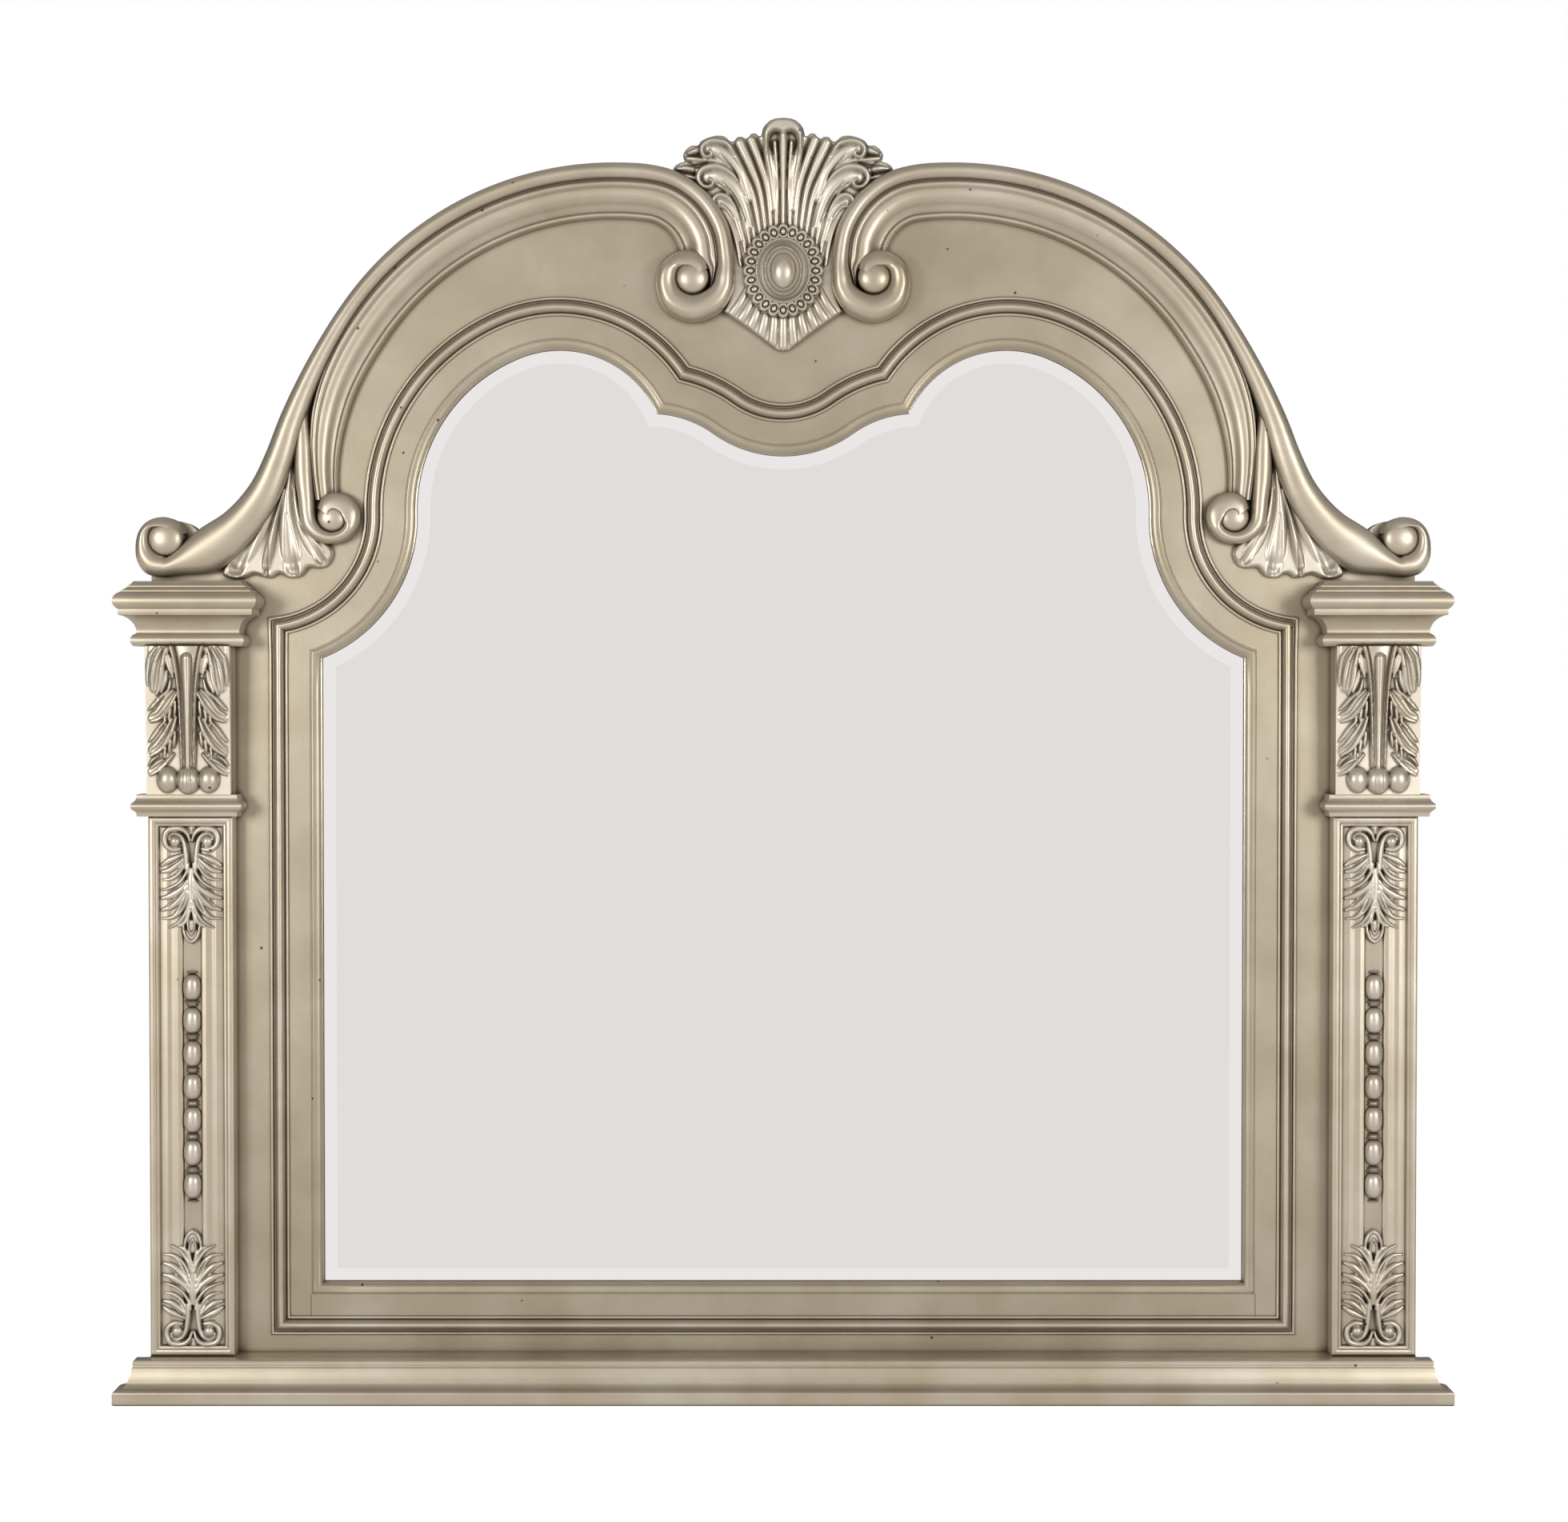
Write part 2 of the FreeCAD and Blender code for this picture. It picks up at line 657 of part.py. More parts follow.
def crown_board():
    body = plate(board_face(), -BOARD, 0.0)
    shoulders = block(-OUTER_X, OUTER_X, CROWN_BOTTOM, FOOT_Z, -BOARD, 0.0)
    feet = [disc(side * (OUTER_X - FOOT_EYE + BOARD_INSET), FOOT_Z, FOOT_EYE - BOARD_INSET, -BOARD, 0.0)
            for side in (-1, 1)]
    whole = body.multiFuse([shoulders] + feet)
    whole = whole.cut(block(-BIG, BIG, -BIG, CROWN_BOTTOM, -BIG, BIG))
    opening = filled(FRAME_JOINT, -BOARD - BACKING, BACKING)
    return whole.cut(opening).removeSplitter().cut(dowels).cut(screws)


def stile_board():
    body = block(SIGHT_HALF + FRAME_JOINT, OUTER_X, 0.0, CROWN_BOTTOM, -BOARD, 0.0)
    return body.cut(dowels).cut(screws).cut(insert_holes)


def rail_board():
    half = SIGHT_HALF + FRAME_JOINT
    body = block(-half, half, 0.0, SIGHT_BOTTOM - FRAME_JOINT, -BOARD, 0.0)
    return body.cut(dowels).cut(screws)


# frame that carries the glass
def save_glass_frame():
    """Rabbeted frame with a hollow worked on its inner edge. Its bottom rail stands between the sides."""
    step = LIP_WIDTH * LIP_STEP_SHARE
    hollow = LIP_WIDTH * LIP_HOLLOW_SHARE
    edge = LIP_WIDTH * LIP_EDGE_SHARE
    wall = -LIP_DROP - LIP_WALL / 2
    profile = [(0.0, -RABBET_DEPTH), (0.0, wall), (hollow, -LIP_DROP, edge, -LIP_DROP),
               (LIP_WIDTH, -LIP_DROP / 4), (step, 0.0), (FRAME_JOINT, 0.0), (FRAME_JOINT, -BOARD),
               (RABBET_COVER, -BOARD), (RABBET_COVER, -RABBET_DEPTH)]
    head = sweep(head_path, profile)
    save(joined([head, mirrored(head)]), "sight_frame_top")
    side = sweep(side_path, profile)
    low = sweep(bottom_path, profile)
    joint_x = SIGHT_HALF + LIP_WIDTH
    side_box = block(-LIP_WIDTH, joint_x, -BOARD, SIGHT_BOTTOM, -BIG, BIG)
    low_box = block(-LIP_WIDTH, joint_x, -BOARD, SIGHT_BOTTOM + BOARD, -BIG, BIG)
    rail = joined([low.common(low_box), side.common(side_box)])
    save(joined([rail, mirrored(rail)]), "sight_frame_bottom")
    save_pair(joined([side.cut(side_box), low.cut(low_box)]), "sight_frame")


# bead moulding
def bead_profile():
    t0 = BEAD_START
    t1 = t0 + BEAD_LIP
    t2 = t1 + BEAD_QUIRK
    t3 = t2 + BEAD_ROLL
    t4 = t3 + BEAD_QUIRK
    t5 = t4 + BEAD_FILLET
    low = BEAD_FILLET_HEIGHT / 2
    return [(t0, 0.0), (t0, low), (t1, BEAD_FILLET_HEIGHT), (t2, low),
            (t2 + BEAD_ROLL / 2, BEAD_HEIGHT, t3, low), (t4, BEAD_FILLET_HEIGHT),
            (t5, BEAD_FILLET_HEIGHT), (t5 + BEAD_QUIRK, 0.0)]


def save_beads():
    head = sweep(head_path, bead_profile(), reach=BEAD_MITRE)
    save(joined([head, mirrored(head)]), "bead_top")
    save_pair(sweep(side_path, bead_profile(), reach=BEAD_MITRE), "bead")
    low = sweep(bottom_path, bead_profile(), reach=BEAD_MITRE)
    save(joined([low, mirrored(low)]), "bead_bottom")


# arch moulding
def roll_profile():
    """Outer roll and the second roll beside it."""
    w = ROLL_WIDTH
    s = w + SECOND_WIDTH
    edge = SECOND_HEIGHT - QUIRK
    return [(0.0, 0.0), (0.0, ROLL_EDGE), (w * ROLL_CREST_SHARE, ROLL_HEIGHT, w, edge),
            (w + SECOND_WIDTH / 2, SECOND_HEIGHT, s, edge), (s, 0.0)]


def inner_members(s):
    """Cove and inner roll beside it, from the distance s on."""
    c = s + COVE_WIDTH
    i = c + INNER_WIDTH
    return [(s + COVE_WIDTH * COVE_MIDDLE_SHARE, COVE_FLOOR + QUIRK / 4, c, COVE_FLOOR),
            (c + INNER_WIDTH / 2, INNER_HEIGHT, i, QUIRK), (i, 0.0)]


def full_profile():
    return roll_profile()[:-1] + inner_members(ROLL_WIDTH + SECOND_WIDTH)


def inner_profile():
    """Cove and inner roll on their own. The first strip lies under the second roll."""
    return [(0.0, 0.0), (0.0, COVE_FLOOR + QUIRK)] + inner_members(QUIRK)


def scroll_eye(x, z, radius, height, ball_radius):
    """Round scroll end: a roll bent into a ring round a ball."""
    tube = (radius - ball_radius) / 2
    ring = Part.makeTorus(radius - tube, tube, point(x, z, height - tube), V(0, -1, 0))
    drum = disc(x, z, radius, 0.0, height - tube)
    core = ball(x, z, height + QUIRK - ball_radius, ball_radius)
    return front_of(joined([drum, ring, core]), 0.0)


def arch_moulding():
    arch = sweep(arch_path, full_profile(), side=-1.0)
    tail = sweep(tail_path, roll_profile(), side=-1.0)
    offset = ROLL_WIDTH + SECOND_WIDTH - QUIRK
    cos_h, sin_h = heading_vector(arch_path.heading)
    inner_x = arch_path.x + offset * sin_h
    inner_z = arch_path.z - offset * cos_h
    end_turn = INNER_SWEEP_TURN - QUARTER_TURN - arch_path.heading
    inner = Path(inner_x, inner_z, arch_path.heading, [
        ("arc", INNER_SWEEP_SHARE * HEAD_UNIT, -INNER_SWEEP_TURN),
        ("arc", INNER_END_SHARE * HEAD_UNIT, end_turn),
    ])
    inner_roll = sweep(inner, inner_profile(), side=-1.0)
    eye_x = inner.x - QUIRK - COVE_WIDTH - INNER_EYE
    crest_eye = scroll_eye(CREST_EYE_X, CREST_EYE_Z, CREST_EYE, CREST_EYE_HEIGHT, CREST_BALL)
    foot_eye = scroll_eye(FOOT_X, FOOT_Z, FOOT_EYE, FOOT_EYE_HEIGHT, FOOT_BALL)
    inner_eye = scroll_eye(eye_x, inner.z, INNER_EYE, INNER_EYE_HEIGHT, INNER_BALL)
    whole = tail.fuse(foot_eye)
    for piece in (inner_roll, inner_eye, arch, crest_eye):
        whole = whole.fuse(piece)
    return whole


def solid_volume(solid):
    return solid.Volume


def shell_fan(moulding):
    """Four flutes spreading from the narrow end of the cove, each ending in a round lobe."""
    apex = (FOOT_X + FAN_APEX_SHARES[0] * HEAD_UNIT, FOOT_Z + FAN_APEX_SHARES[1] * HEAD_UNIT)
    ends = [(FOOT_X + x * HEAD_UNIT, FOOT_Z + z * HEAD_UNIT) for x, z in FAN_END_SHARES]
    pieces = [plate(outline_face([apex] + ends), 0.0, FAN_PLATE)]
    for end in ends:
        pieces.append(cone_between(apex + (FAN_PLATE,), end + (FAN_PLATE,), FAN_TOP_RADIUS, FAN_BALL))
        pieces.append(ball(end[0], end[1], FAN_PLATE, FAN_BALL))
    whole = front_of(pieces[0].multiFuse(pieces[1:]), 0.0)
    # the thin point, which the moulding covers, is cut off square
    whole = whole.cut(block(-BIG, BIG, FOOT_Z + FAN_TOP_SHARE * HEAD_UNIT, BIG, -BIG, BIG))
    fitted = whole.cut(moulding)
    # small offcuts behind the rolls are dropped
    return max(fitted.Solids, key=solid_volume)


# crest shell and rosette
def crest_outline():
    """Shell outline. Its sides run inside the rolls, which then cut them to a tight seat."""
    unit = HEAD_UNIT
    z0 = CREST_START_Z
    cx = CREST_EYE_X - CREST_EYE + CREST_RADIUS
    cz = CREST_EYE_Z + CREST_DROP
    inside = CREST_RADIUS - ROLL_WIDTH / 2
    right = [(0.0, z0 + CREST_CURL_SHARE * unit)]
    right += [(x * unit, z0 + z * unit) for x, z in reversed(CREST_EDGE_SHARES)]
    points = list(right)
    top_cos, top_sin = heading_vector(CREST_JOINT_ANGLE)
    mid_cos, mid_sin = heading_vector(CREST_MIDDLE_ANGLE)
    points.append((cx - inside * top_cos, cz + inside * top_sin))
    points.append((cx - inside * mid_cos, cz + inside * mid_sin, cx - inside, cz))
    points.append((cx - inside, CREST_EYE_Z))
    points.append((CREST_SHOULDER_SHARES[0] * unit, z0 + CREST_SHOULDER_SHARES[1] * unit))
    points.append((CREST_BELLY_SHARES[0] * unit, z0 + CREST_BELLY_SHARES[1] * unit,
                   0.0, z0 - CREST_POINT_SHARE * unit))
    return outline_face(points)


def rib_fan(count, spread, z_end, sag, r_root, r_end):
    """Tapered ribs spreading from the rosette centre."""
    centre_z = CREST_START_Z - ROSETTE_DROP_SHARE * HEAD_UNIT
    ribs = []
    for index in range(count):
        share = 2.0 * index / (count - 1) - 1.0
        end = (share * spread, z_end - sag * share * share, CREST_PLATE)
        ribs.append(cone_between((0.0, centre_z, CREST_PLATE), end, r_root, r_end))
        ribs.append(ball(end[0], end[1], end[2], r_end))
    return ribs


def crest_shell(both_mouldings, rosette):
    unit = HEAD_UNIT
    z0 = CREST_START_Z
    half = plate(crest_outline(), 0.0, CREST_PLATE)
    pieces = [half, mirrored(half)]
    pieces += rib_fan(CREST_RIB_COUNT, CREST_RIB_SPREAD_SHARE * unit, z0 + CREST_RIB_TOP_SHARE * unit,
                      CREST_RIB_SAG_SHARE * unit, CREST_RIB_ROOT, CREST_RIB_TOP)
    pieces += rib_fan(LOW_RIB_COUNT, LOW_RIB_SPREAD_SHARE * unit, z0 + LOW_RIB_SHARE * unit,
                      -LOW_RIB_SAG_SHARE * unit, CREST_RIB_ROOT, LOW_RIB)
    pieces.append(ball(0.0, z0 + CREST_CURL_SHARE * unit, CREST_PLATE, CREST_CURL))
    for x, z, radius in CREST_SCROLL_SHARES:
        for side in (-1, 1):
            pieces.append(ball(side * x * unit, z0 + z * unit, CREST_PLATE, radius))
    whole = front_of(pieces[0].multiFuse(pieces[1:]), 0.0)
    return whole.cut(both_mouldings).cut(rosette)


def ellipse_plate(z, half_x, half_z, h0, h1):
    curve = Part.Ellipse(point(0.0, z + half_z, h0), point(half_x, z, h0), point(0.0, z, h0))
    face = Part.Face(Part.Wire([curve.toShape()]))
    return face.extrude(V(0, h0 - h1, 0))


def crest_rosette():
    """Scalloped oval with a raised ring and a domed centre."""
    z = CREST_START_Z - ROSETTE_DROP_SHARE * HEAD_UNIT
    top = CREST_PLATE + ROSETTE_THICK
    body = ellipse_plate(z, ROSETTE_WIDTH, ROSETTE_LENGTH, CREST_PLATE, top)
    scallops = []
    for index in range(SCALLOP_COUNT):
        cos_a, sin_a = heading_vector(360.0 * index / SCALLOP_COUNT)
        scallops.append(disc(ROSETTE_WIDTH * cos_a, z + ROSETTE_LENGTH * sin_a, SCALLOP, CREST_PLATE, top))
    outer = ellipse_plate(z, ROSETTE_WIDTH * RING_OUTER_SHARE, ROSETTE_LENGTH * RING_OUTER_SHARE,
                          CREST_PLATE, top + RING_RISE)
    inner = ellipse_plate(z, ROSETTE_WIDTH * RING_INNER_SHARE, ROSETTE_LENGTH * RING_INNER_SHARE,
                          top, top + 2 * RING_RISE)
    dome = Part.makeSphere(1.0)
    squash = FreeCAD.Matrix()
    squash.scale(ROSETTE_WIDTH * DOME_SHARE, DOME_RISE, ROSETTE_LENGTH * DOME_SHARE)
    dome = front_of(dome.transformGeometry(squash).translated(point(0.0, z, top)), CREST_PLATE)
    return body.multiFuse(scallops + [outer]).cut(inner).fuse(dome)


# pilaster with its leaves and pearls
def pilaster():
    """Pilaster with a sunk panel, two soft reeds and a groove between them for the pearls."""
    half = PILASTER_WIDTH / 2
    body = block(PILASTER_X - half, PILASTER_X + half, BASE_HEIGHT, PILASTER_TOP, 0.0, PILASTER_THICK)
    edge = half - PANEL_RIM
    floor = PILASTER_THICK - PANEL_DEPTH
    panel_low = BASE_HEIGHT + PANEL_END
    panel_high = PILASTER_TOP - PANEL_END
    panel = block(PILASTER_X - edge, PILASTER_X + edge, panel_low, panel_high, floor, BOARD + floor)
    reed_low = panel_low + LEAF_LENGTH
    reed_high = panel_high - LEAF_LENGTH
    groove = block(PILASTER_X - REED_GROOVE, PILASTER_X + REED_GROOVE, reed_low, reed_high,
                   PILASTER_THICK - GROOVE_DEPTH, PILASTER_THICK)
    reeds = []
    for side in (-1, 1):
        inner_x = PILASTER_X + side * REED_GROOVE
        outer_x = PILASTER_X + side * edge
        curve = [V(inner_x, FIELD_Y - floor, reed_low),
                 V((inner_x + outer_x) / 2, FIELD_Y - floor - REED_RISE, reed_low),
                 V(outer_x, FIELD_Y - floor, reed_low)]
        section = Part.Wire([Part.Arc(*curve).toShape(), Part.makeLine(curve[2], curve[0])])
        reeds.append(Part.Face(section).extrude(V(0, 0, reed_high - reed_low)))
    return body.cut(panel).cut(groove).multiFuse(reeds)


def leaf(z_top, direction):
    """Leaf with four lobes a side, two scroll balls and a midrib. It points along the direction."""
    half = PILASTER_WIDTH / 2 - PANEL_RIM
    floor = PILASTER_THICK - PANEL_DEPTH

    def place(x_share, z_share):
        return PILASTER_X + x_share * half, z_top + direction * z_share * LEAF_LENGTH

    right = [place(0.0, 0.0), place(1.0, 0.0)]
    left = []
    for mid_x, mid_z, end_x, end_z in LEAF_LOBE_SHARES:
        right.append(place(mid_x, mid_z) + place(end_x, end_z))
    starts = [(1.0, 0.0)] + [lobe[2:] for lobe in LEAF_LOBE_SHARES[:-1]]
    for lobe, first in zip(reversed(LEAF_LOBE_SHARES), reversed(starts)):
        left.append(place(-lobe[0], lobe[1]) + place(-first[0], first[1]))
    body = plate(outline_face(right + left), floor, floor + LEAF_THICK)
    top = floor + LEAF_THICK
    start = place(0.0, 0.0)
    tip = place(0.0, LEAF_BALL_SHARES[0] + LEAF_BALL_SHARES[1])
    rib = cone_between(start + (top - LEAF_RIB_TIP,), tip + (top - LEAF_RIB_TIP,), LEAF_RIB, LEAF_RIB_TIP)
    balls = [ball(*place(side * LEAF_BALL_SHARES[0], LEAF_BALL_SHARES[1]), top - LEAF_RIB_TIP, LEAF_BALL)
             for side in (-1, 1)]
    return front_of(body.multiFuse([rib] + balls), floor)


def pearl_strip():
    """Half-round string of long pearls on the floor of the groove."""
    floor = PILASTER_THICK - GROOVE_DEPTH
    middle = (BASE_HEIGHT + PILASTER_TOP) / 2
    low = middle - (PEARL_COUNT - 1) * PEARL_PITCH / 2 - PEARL_LENGTH / 2

    def at(radius, z):
        return V(PILASTER_X + radius, FIELD_Y - floor, z)

    edges = [Part.makeLine(at(0.0, low), at(PEARL_NECK, low))]
    for index in range(PEARL_COUNT):
        z = low + index * PEARL_PITCH
        edges.append(Part.Arc(at(PEARL_NECK, z), at(PEARL_RADIUS, z + PEARL_LENGTH / 2),
                              at(PEARL_NECK, z + PEARL_LENGTH)).toShape())
        if index < PEARL_COUNT - 1:
            edges.append(Part.makeLine(at(PEARL_NECK, z + PEARL_LENGTH), at(PEARL_NECK, z + PEARL_PITCH)))
    high = low + (PEARL_COUNT - 1) * PEARL_PITCH + PEARL_LENGTH
    edges.append(Part.makeLine(at(PEARL_NECK, high), at(0.0, high)))
    edges.append(Part.makeLine(at(0.0, high), at(0.0, low)))
    return Part.Face(Part.Wire(edges)).revolve(at(0.0, low), V(0, 0, -1), 180.0)


# moulded blocks: a section carried round the front and both sides
def moulded_block(x0, x1, h0, h1, z0, profile):
    """Block with a moulding mitred round its front and sides, by crossing two extrusions."""
    mid_x = (x0 + x1) / 2
    half = (x1 - x0) / 2

    def section(place):
        edges = []
        last = profile[0]
        for item in profile[1:] + [profile[0]]:
            end = item[-2:]
            if len(item) == 4:
                edges.append(Part.Arc(place(*last), place(*item[:2]), place(*end)).toShape())
            else:
                edges.append(Part.makeLine(place(*last), place(*end)))
            last = end
        return Part.Face(Part.Wire(edges))

    width = x1 - x0 + BLOCK_SPARE
    front = section(lambda p, z: V(mid_x - width / 2, FIELD_Y - h1 - p, z0 + z)).extrude(V(width, 0, 0))
    height = front.BoundBox.ZMax
    front = front.fuse(block(mid_x - width / 2, mid_x + width / 2, z0, height, h0, h1)).removeSplitter()
    depth = h1 - h0 + BLOCK_SPARE
    right = section(lambda p, z: V(x1 + p, FIELD_Y - h0, z0 + z)).extrude(V(0, -depth, 0))
    left = section(lambda p, z: V(x0 - p, FIELD_Y - h0, z0 + z)).extrude(V(0, -depth, 0))
    middle = block(x0, x1, z0, height, h0, h0 + depth)
    sides = middle.multiFuse([right, left]).removeSplitter()
    return front.common(sides).removeSplitter()


def wedge(corners, z0, z1):
    """Upright prism over (x, h) corners."""
    points = [V(x, FIELD_Y - h, z0) for x, h in corners]
    return Part.Face(Part.makePolygon(points + [points[0]])).extrude(V(0, 0, z1 - z0))


def shared_profile(shares, reach, height):
    """Section of a moulded block, from shares of its reach and of its height."""
    sizes = (reach, height)
    return [tuple(share * sizes[index % 2] for index, share in enumerate(item)) for item in shares]


def neck_moulding():
    half = PILASTER_WIDTH / 2
    x = PILASTER_X + NECK_SHIFT
    return moulded_block(x - half, x + half, 0.0, PILASTER_THICK, PILASTER_TOP,
                         shared_profile(NECK_SHARES, NECK_REACH, NECK_HEIGHT))


def save_capital():
    """Capital core with a front moulding and two returns mitred round it."""
    half = PILASTER_WIDTH / 2
    x0 = PILASTER_X - half
    x1 = PILASTER_X + half
    reach = CAPITAL_REACH + LIP_WIDTH
    front_h = PILASTER_THICK
    core = block(x0, x1, CAPITAL_BOTTOM, CAPITAL_TOP, 0.0, front_h)
    profile = shared_profile(CAPITAL_SHARES, CAPITAL_REACH, CAPITAL_HEIGHT)
    ring = moulded_block(x0, x1, 0.0, front_h, CAPITAL_BOTTOM, profile).cut(core)
    corner_h = front_h + reach
    front = wedge([(x0, front_h), (x0 - reach, corner_h), (x1 + reach, corner_h), (x1, front_h)],
                  CAPITAL_BOTTOM, CAPITAL_TOP)
    outer = wedge([(x1, 0.0), (x1, front_h), (x1 + reach, front_h + reach), (x1 + reach, 0.0)],
                  CAPITAL_BOTTOM, CAPITAL_TOP)
    inner = wedge([(x0, 0.0), (x0, front_h), (x0 - reach, front_h + reach), (x0 - reach, 0.0)],
                  CAPITAL_BOTTOM, CAPITAL_TOP)
    save_pair(core, "capital_core")
    save_pair(ring.common(front), "capital_front")
    save_pair(ring.common(outer), "capital_outer_return")
    save_pair(ring.common(inner), "capital_inner_return")


def pier():
    half = PILASTER_WIDTH / 2
    return block(PILASTER_X - half, PILASTER_X + half, CORBEL_BOTTOM, CAPITAL_BOTTOM, 0.0, PILASTER_THICK)


def corbel():
    """Console with a hollow front, a tapered spine and three balls at its foot."""
    half = PILASTER_WIDTH / 2 - CORBEL_INSET
    low = CORBEL_LOW_REACH
    high = CORBEL_TOP_REACH

    def at(reach, rise):
        return V(PILASTER_X - half, FIELD_Y - PILASTER_THICK - reach, CORBEL_BOTTOM + rise)

    hollow = Part.Arc(
        at(low, CORBEL_FOOT),
        at(low * HOLLOW_REACH_SHARE, CORBEL_HEIGHT * HOLLOW_RISE_SHARE),
        at(high, CORBEL_HEIGHT),
    ).toShape()
    section = Part.Wire([
        Part.makeLine(at(0.0, 0.0), at(low, 0.0)), Part.makeLine(at(low, 0.0), at(low, CORBEL_FOOT)), hollow,
        Part.makeLine(at(high, CORBEL_HEIGHT), at(0.0, CORBEL_HEIGHT)),
        Part.makeLine(at(0.0, CORBEL_HEIGHT), at(0.0, 0.0)),
    ])
    body = Part.Face(section).extrude(V(2 * half, 0, 0))
    front = PILASTER_THICK + low
    spine = cone_between(
        (PILASTER_X, CORBEL_BOTTOM + CORBEL_FOOT, front - SPINE_LOW * SPINE_SINK_SHARE),
        (PILASTER_X, CAPITAL_BOTTOM - SPINE_TOP, PILASTER_THICK + high - SPINE_TOP), SPINE_LOW, SPINE_TOP)
    balls = [ball(PILASTER_X + step * CORBEL_BALL_PITCH, CORBEL_BOTTOM + CORBEL_BALL_LIFT, front, CORBEL_BALL)
             for step in (-1, 0, 1)]
    whole = body.multiFuse([spine] + balls)
    return front_of(whole, PILASTER_THICK)


# base
def save_base():
    """Plinth core, and a base moulding mitred round its front and ends."""
    x1 = OUTER_X
    core = block(-x1, x1, 0.0, BASE_HEIGHT, 0.0, PLINTH_CORE)
    profile = shared_profile(BASE_SHARES, PLINTH_REACH, BASE_HEIGHT)
    whole = moulded_block(-x1, x1, -BOARD, PLINTH_CORE, 0.0, profile)
    ring = whole.cut(block(-x1, x1, -BIG, BIG, -BOARD - TINY, PLINTH_CORE))
    reach = PLINTH_REACH + LIP_WIDTH
    front = wedge([(-x1, PLINTH_CORE), (-x1 - reach, PLINTH_CORE + reach), (x1 + reach, PLINTH_CORE + reach),
                   (x1, PLINTH_CORE)], 0.0, BASE_HEIGHT)
    side = wedge([(x1, -BOARD), (x1, PLINTH_CORE), (x1 + reach, PLINTH_CORE + reach), (x1 + reach, -BOARD)],
                 0.0, BASE_HEIGHT)
    save(core, "plinth_core")
    save(ring.common(front), "base_front_moulding")
    save_pair(ring.common(side), "base_return")


# mirror and what holds it
def mirror_glass():
    """Plate with a wide ground bevel that follows the shaped edge."""
    edge_t = RABBET_COVER - GLASS_PLAY
    inner_t = edge_t - BEVEL_WIDTH
    glass_path = Path(0.0, KEY_Z, 0.0, sight_steps, mitre_at=inner_t)
    top = -RABBET_DEPTH
    back = top - GLASS
    middle = plate(sight_face, back, top)
    waste = [(inner_t, back - GLASS), (inner_t, top + GLASS), (edge_t, top + GLASS), (edge_t, back - GLASS)]
    for strip in band(waste, glass_path):
        middle = middle.cut(strip)
    bevel = band([(inner_t, back), (inner_t, top), (edge_t, top - BEVEL_DROP), (edge_t, back)], glass_path)
    return joined([middle] + bevel)


def save_strips():
    """Strips that press the glass into its rabbet from behind."""
    back = -RABBET_DEPTH - GLASS
    inner_t = RABBET_COVER - STRIP_WIDTH
    profile = [(inner_t, -BOARD), (inner_t, back), (RABBET_COVER, back), (RABBET_COVER, -BOARD)]
    save_pair(sweep(head_path, profile), "glass_strip_top")
    save_pair(sweep(side_path, profile), "glass_strip_side")
    low = sweep(bottom_path, profile)
    save(joined([low, mirrored(low)]), "glass_strip_bottom")


save(crown_board(), "crown_board")
save_pair(stile_board(), "stile_board")
save(rail_board(), "bottom_rail_board")
save(dowels, "frame_dowels")
save(screws, "backing_screws")
save(inserts, "support_inserts")
save(plate(backing_outline(), -BOARD - BACKING, -BOARD).cut(screws), "backing_board")
save_glass_frame()
save(mirror_glass(), "mirror_glass")
save_strips()
save_beads()

moulding = arch_moulding()
both = Part.makeCompound([moulding, mirrored(moulding)])
rosette = crest_rosette()
save_pair(moulding, "arch_moulding")
save_pair(shell_fan(moulding), "shell_fan")
save(crest_shell(both, rosette), "crest_shell")
save(rosette, "crest_rosette")

save_pair(pilaster(), "pilaster")
save_pair(leaf(PILASTER_TOP - PANEL_END, -1), "upper_leaf")
save_pair(leaf(BASE_HEIGHT + PANEL_END, 1), "lower_leaf")
save_pair(pearl_strip(), "pearl_strip")
save_pair(neck_moulding(), "neck_moulding")
save_pair(pier(), "pier")
save_pair(corbel(), "corbel")
save_capital()
save_base()
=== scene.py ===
"""Carved dresser mirror with a shaped bevelled glass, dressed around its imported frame.

Lengths in the classes are millimetres in the front view: x to the right, z up, and h
the height of a point above the flat face of the frame boards, towards the viewer.
"""

import logging
import math
from dataclasses import dataclass
from enum import Enum

import bpy
import numpy as np
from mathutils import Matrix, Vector


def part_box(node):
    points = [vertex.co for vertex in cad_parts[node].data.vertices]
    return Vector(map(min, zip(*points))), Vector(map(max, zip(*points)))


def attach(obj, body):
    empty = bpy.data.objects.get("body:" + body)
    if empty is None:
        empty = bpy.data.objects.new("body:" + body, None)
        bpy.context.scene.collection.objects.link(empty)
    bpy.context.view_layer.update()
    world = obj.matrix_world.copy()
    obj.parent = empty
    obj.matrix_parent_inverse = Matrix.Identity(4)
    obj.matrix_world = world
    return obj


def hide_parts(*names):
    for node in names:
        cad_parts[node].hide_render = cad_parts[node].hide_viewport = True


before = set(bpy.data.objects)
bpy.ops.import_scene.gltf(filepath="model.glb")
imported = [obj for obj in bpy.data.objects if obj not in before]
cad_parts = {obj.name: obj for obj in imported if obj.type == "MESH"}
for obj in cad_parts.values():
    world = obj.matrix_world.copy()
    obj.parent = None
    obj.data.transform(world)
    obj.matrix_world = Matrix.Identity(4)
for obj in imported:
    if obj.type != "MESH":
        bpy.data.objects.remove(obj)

log = logging.getLogger("mirror")
MM = 0.001
SMOOTH_ANGLE = math.radians(34.0)
# a straight run takes steps this many times as long as a bent one
STRAIGHT_STRETCH = 8
# rounds in which a mitre or a trimmed length is found exactly
ROUNDS = 12
# driving sizes of the opening, as the frame has them
SHOULDER_Z = 699.3
SIGHT_BOTTOM = 104.3
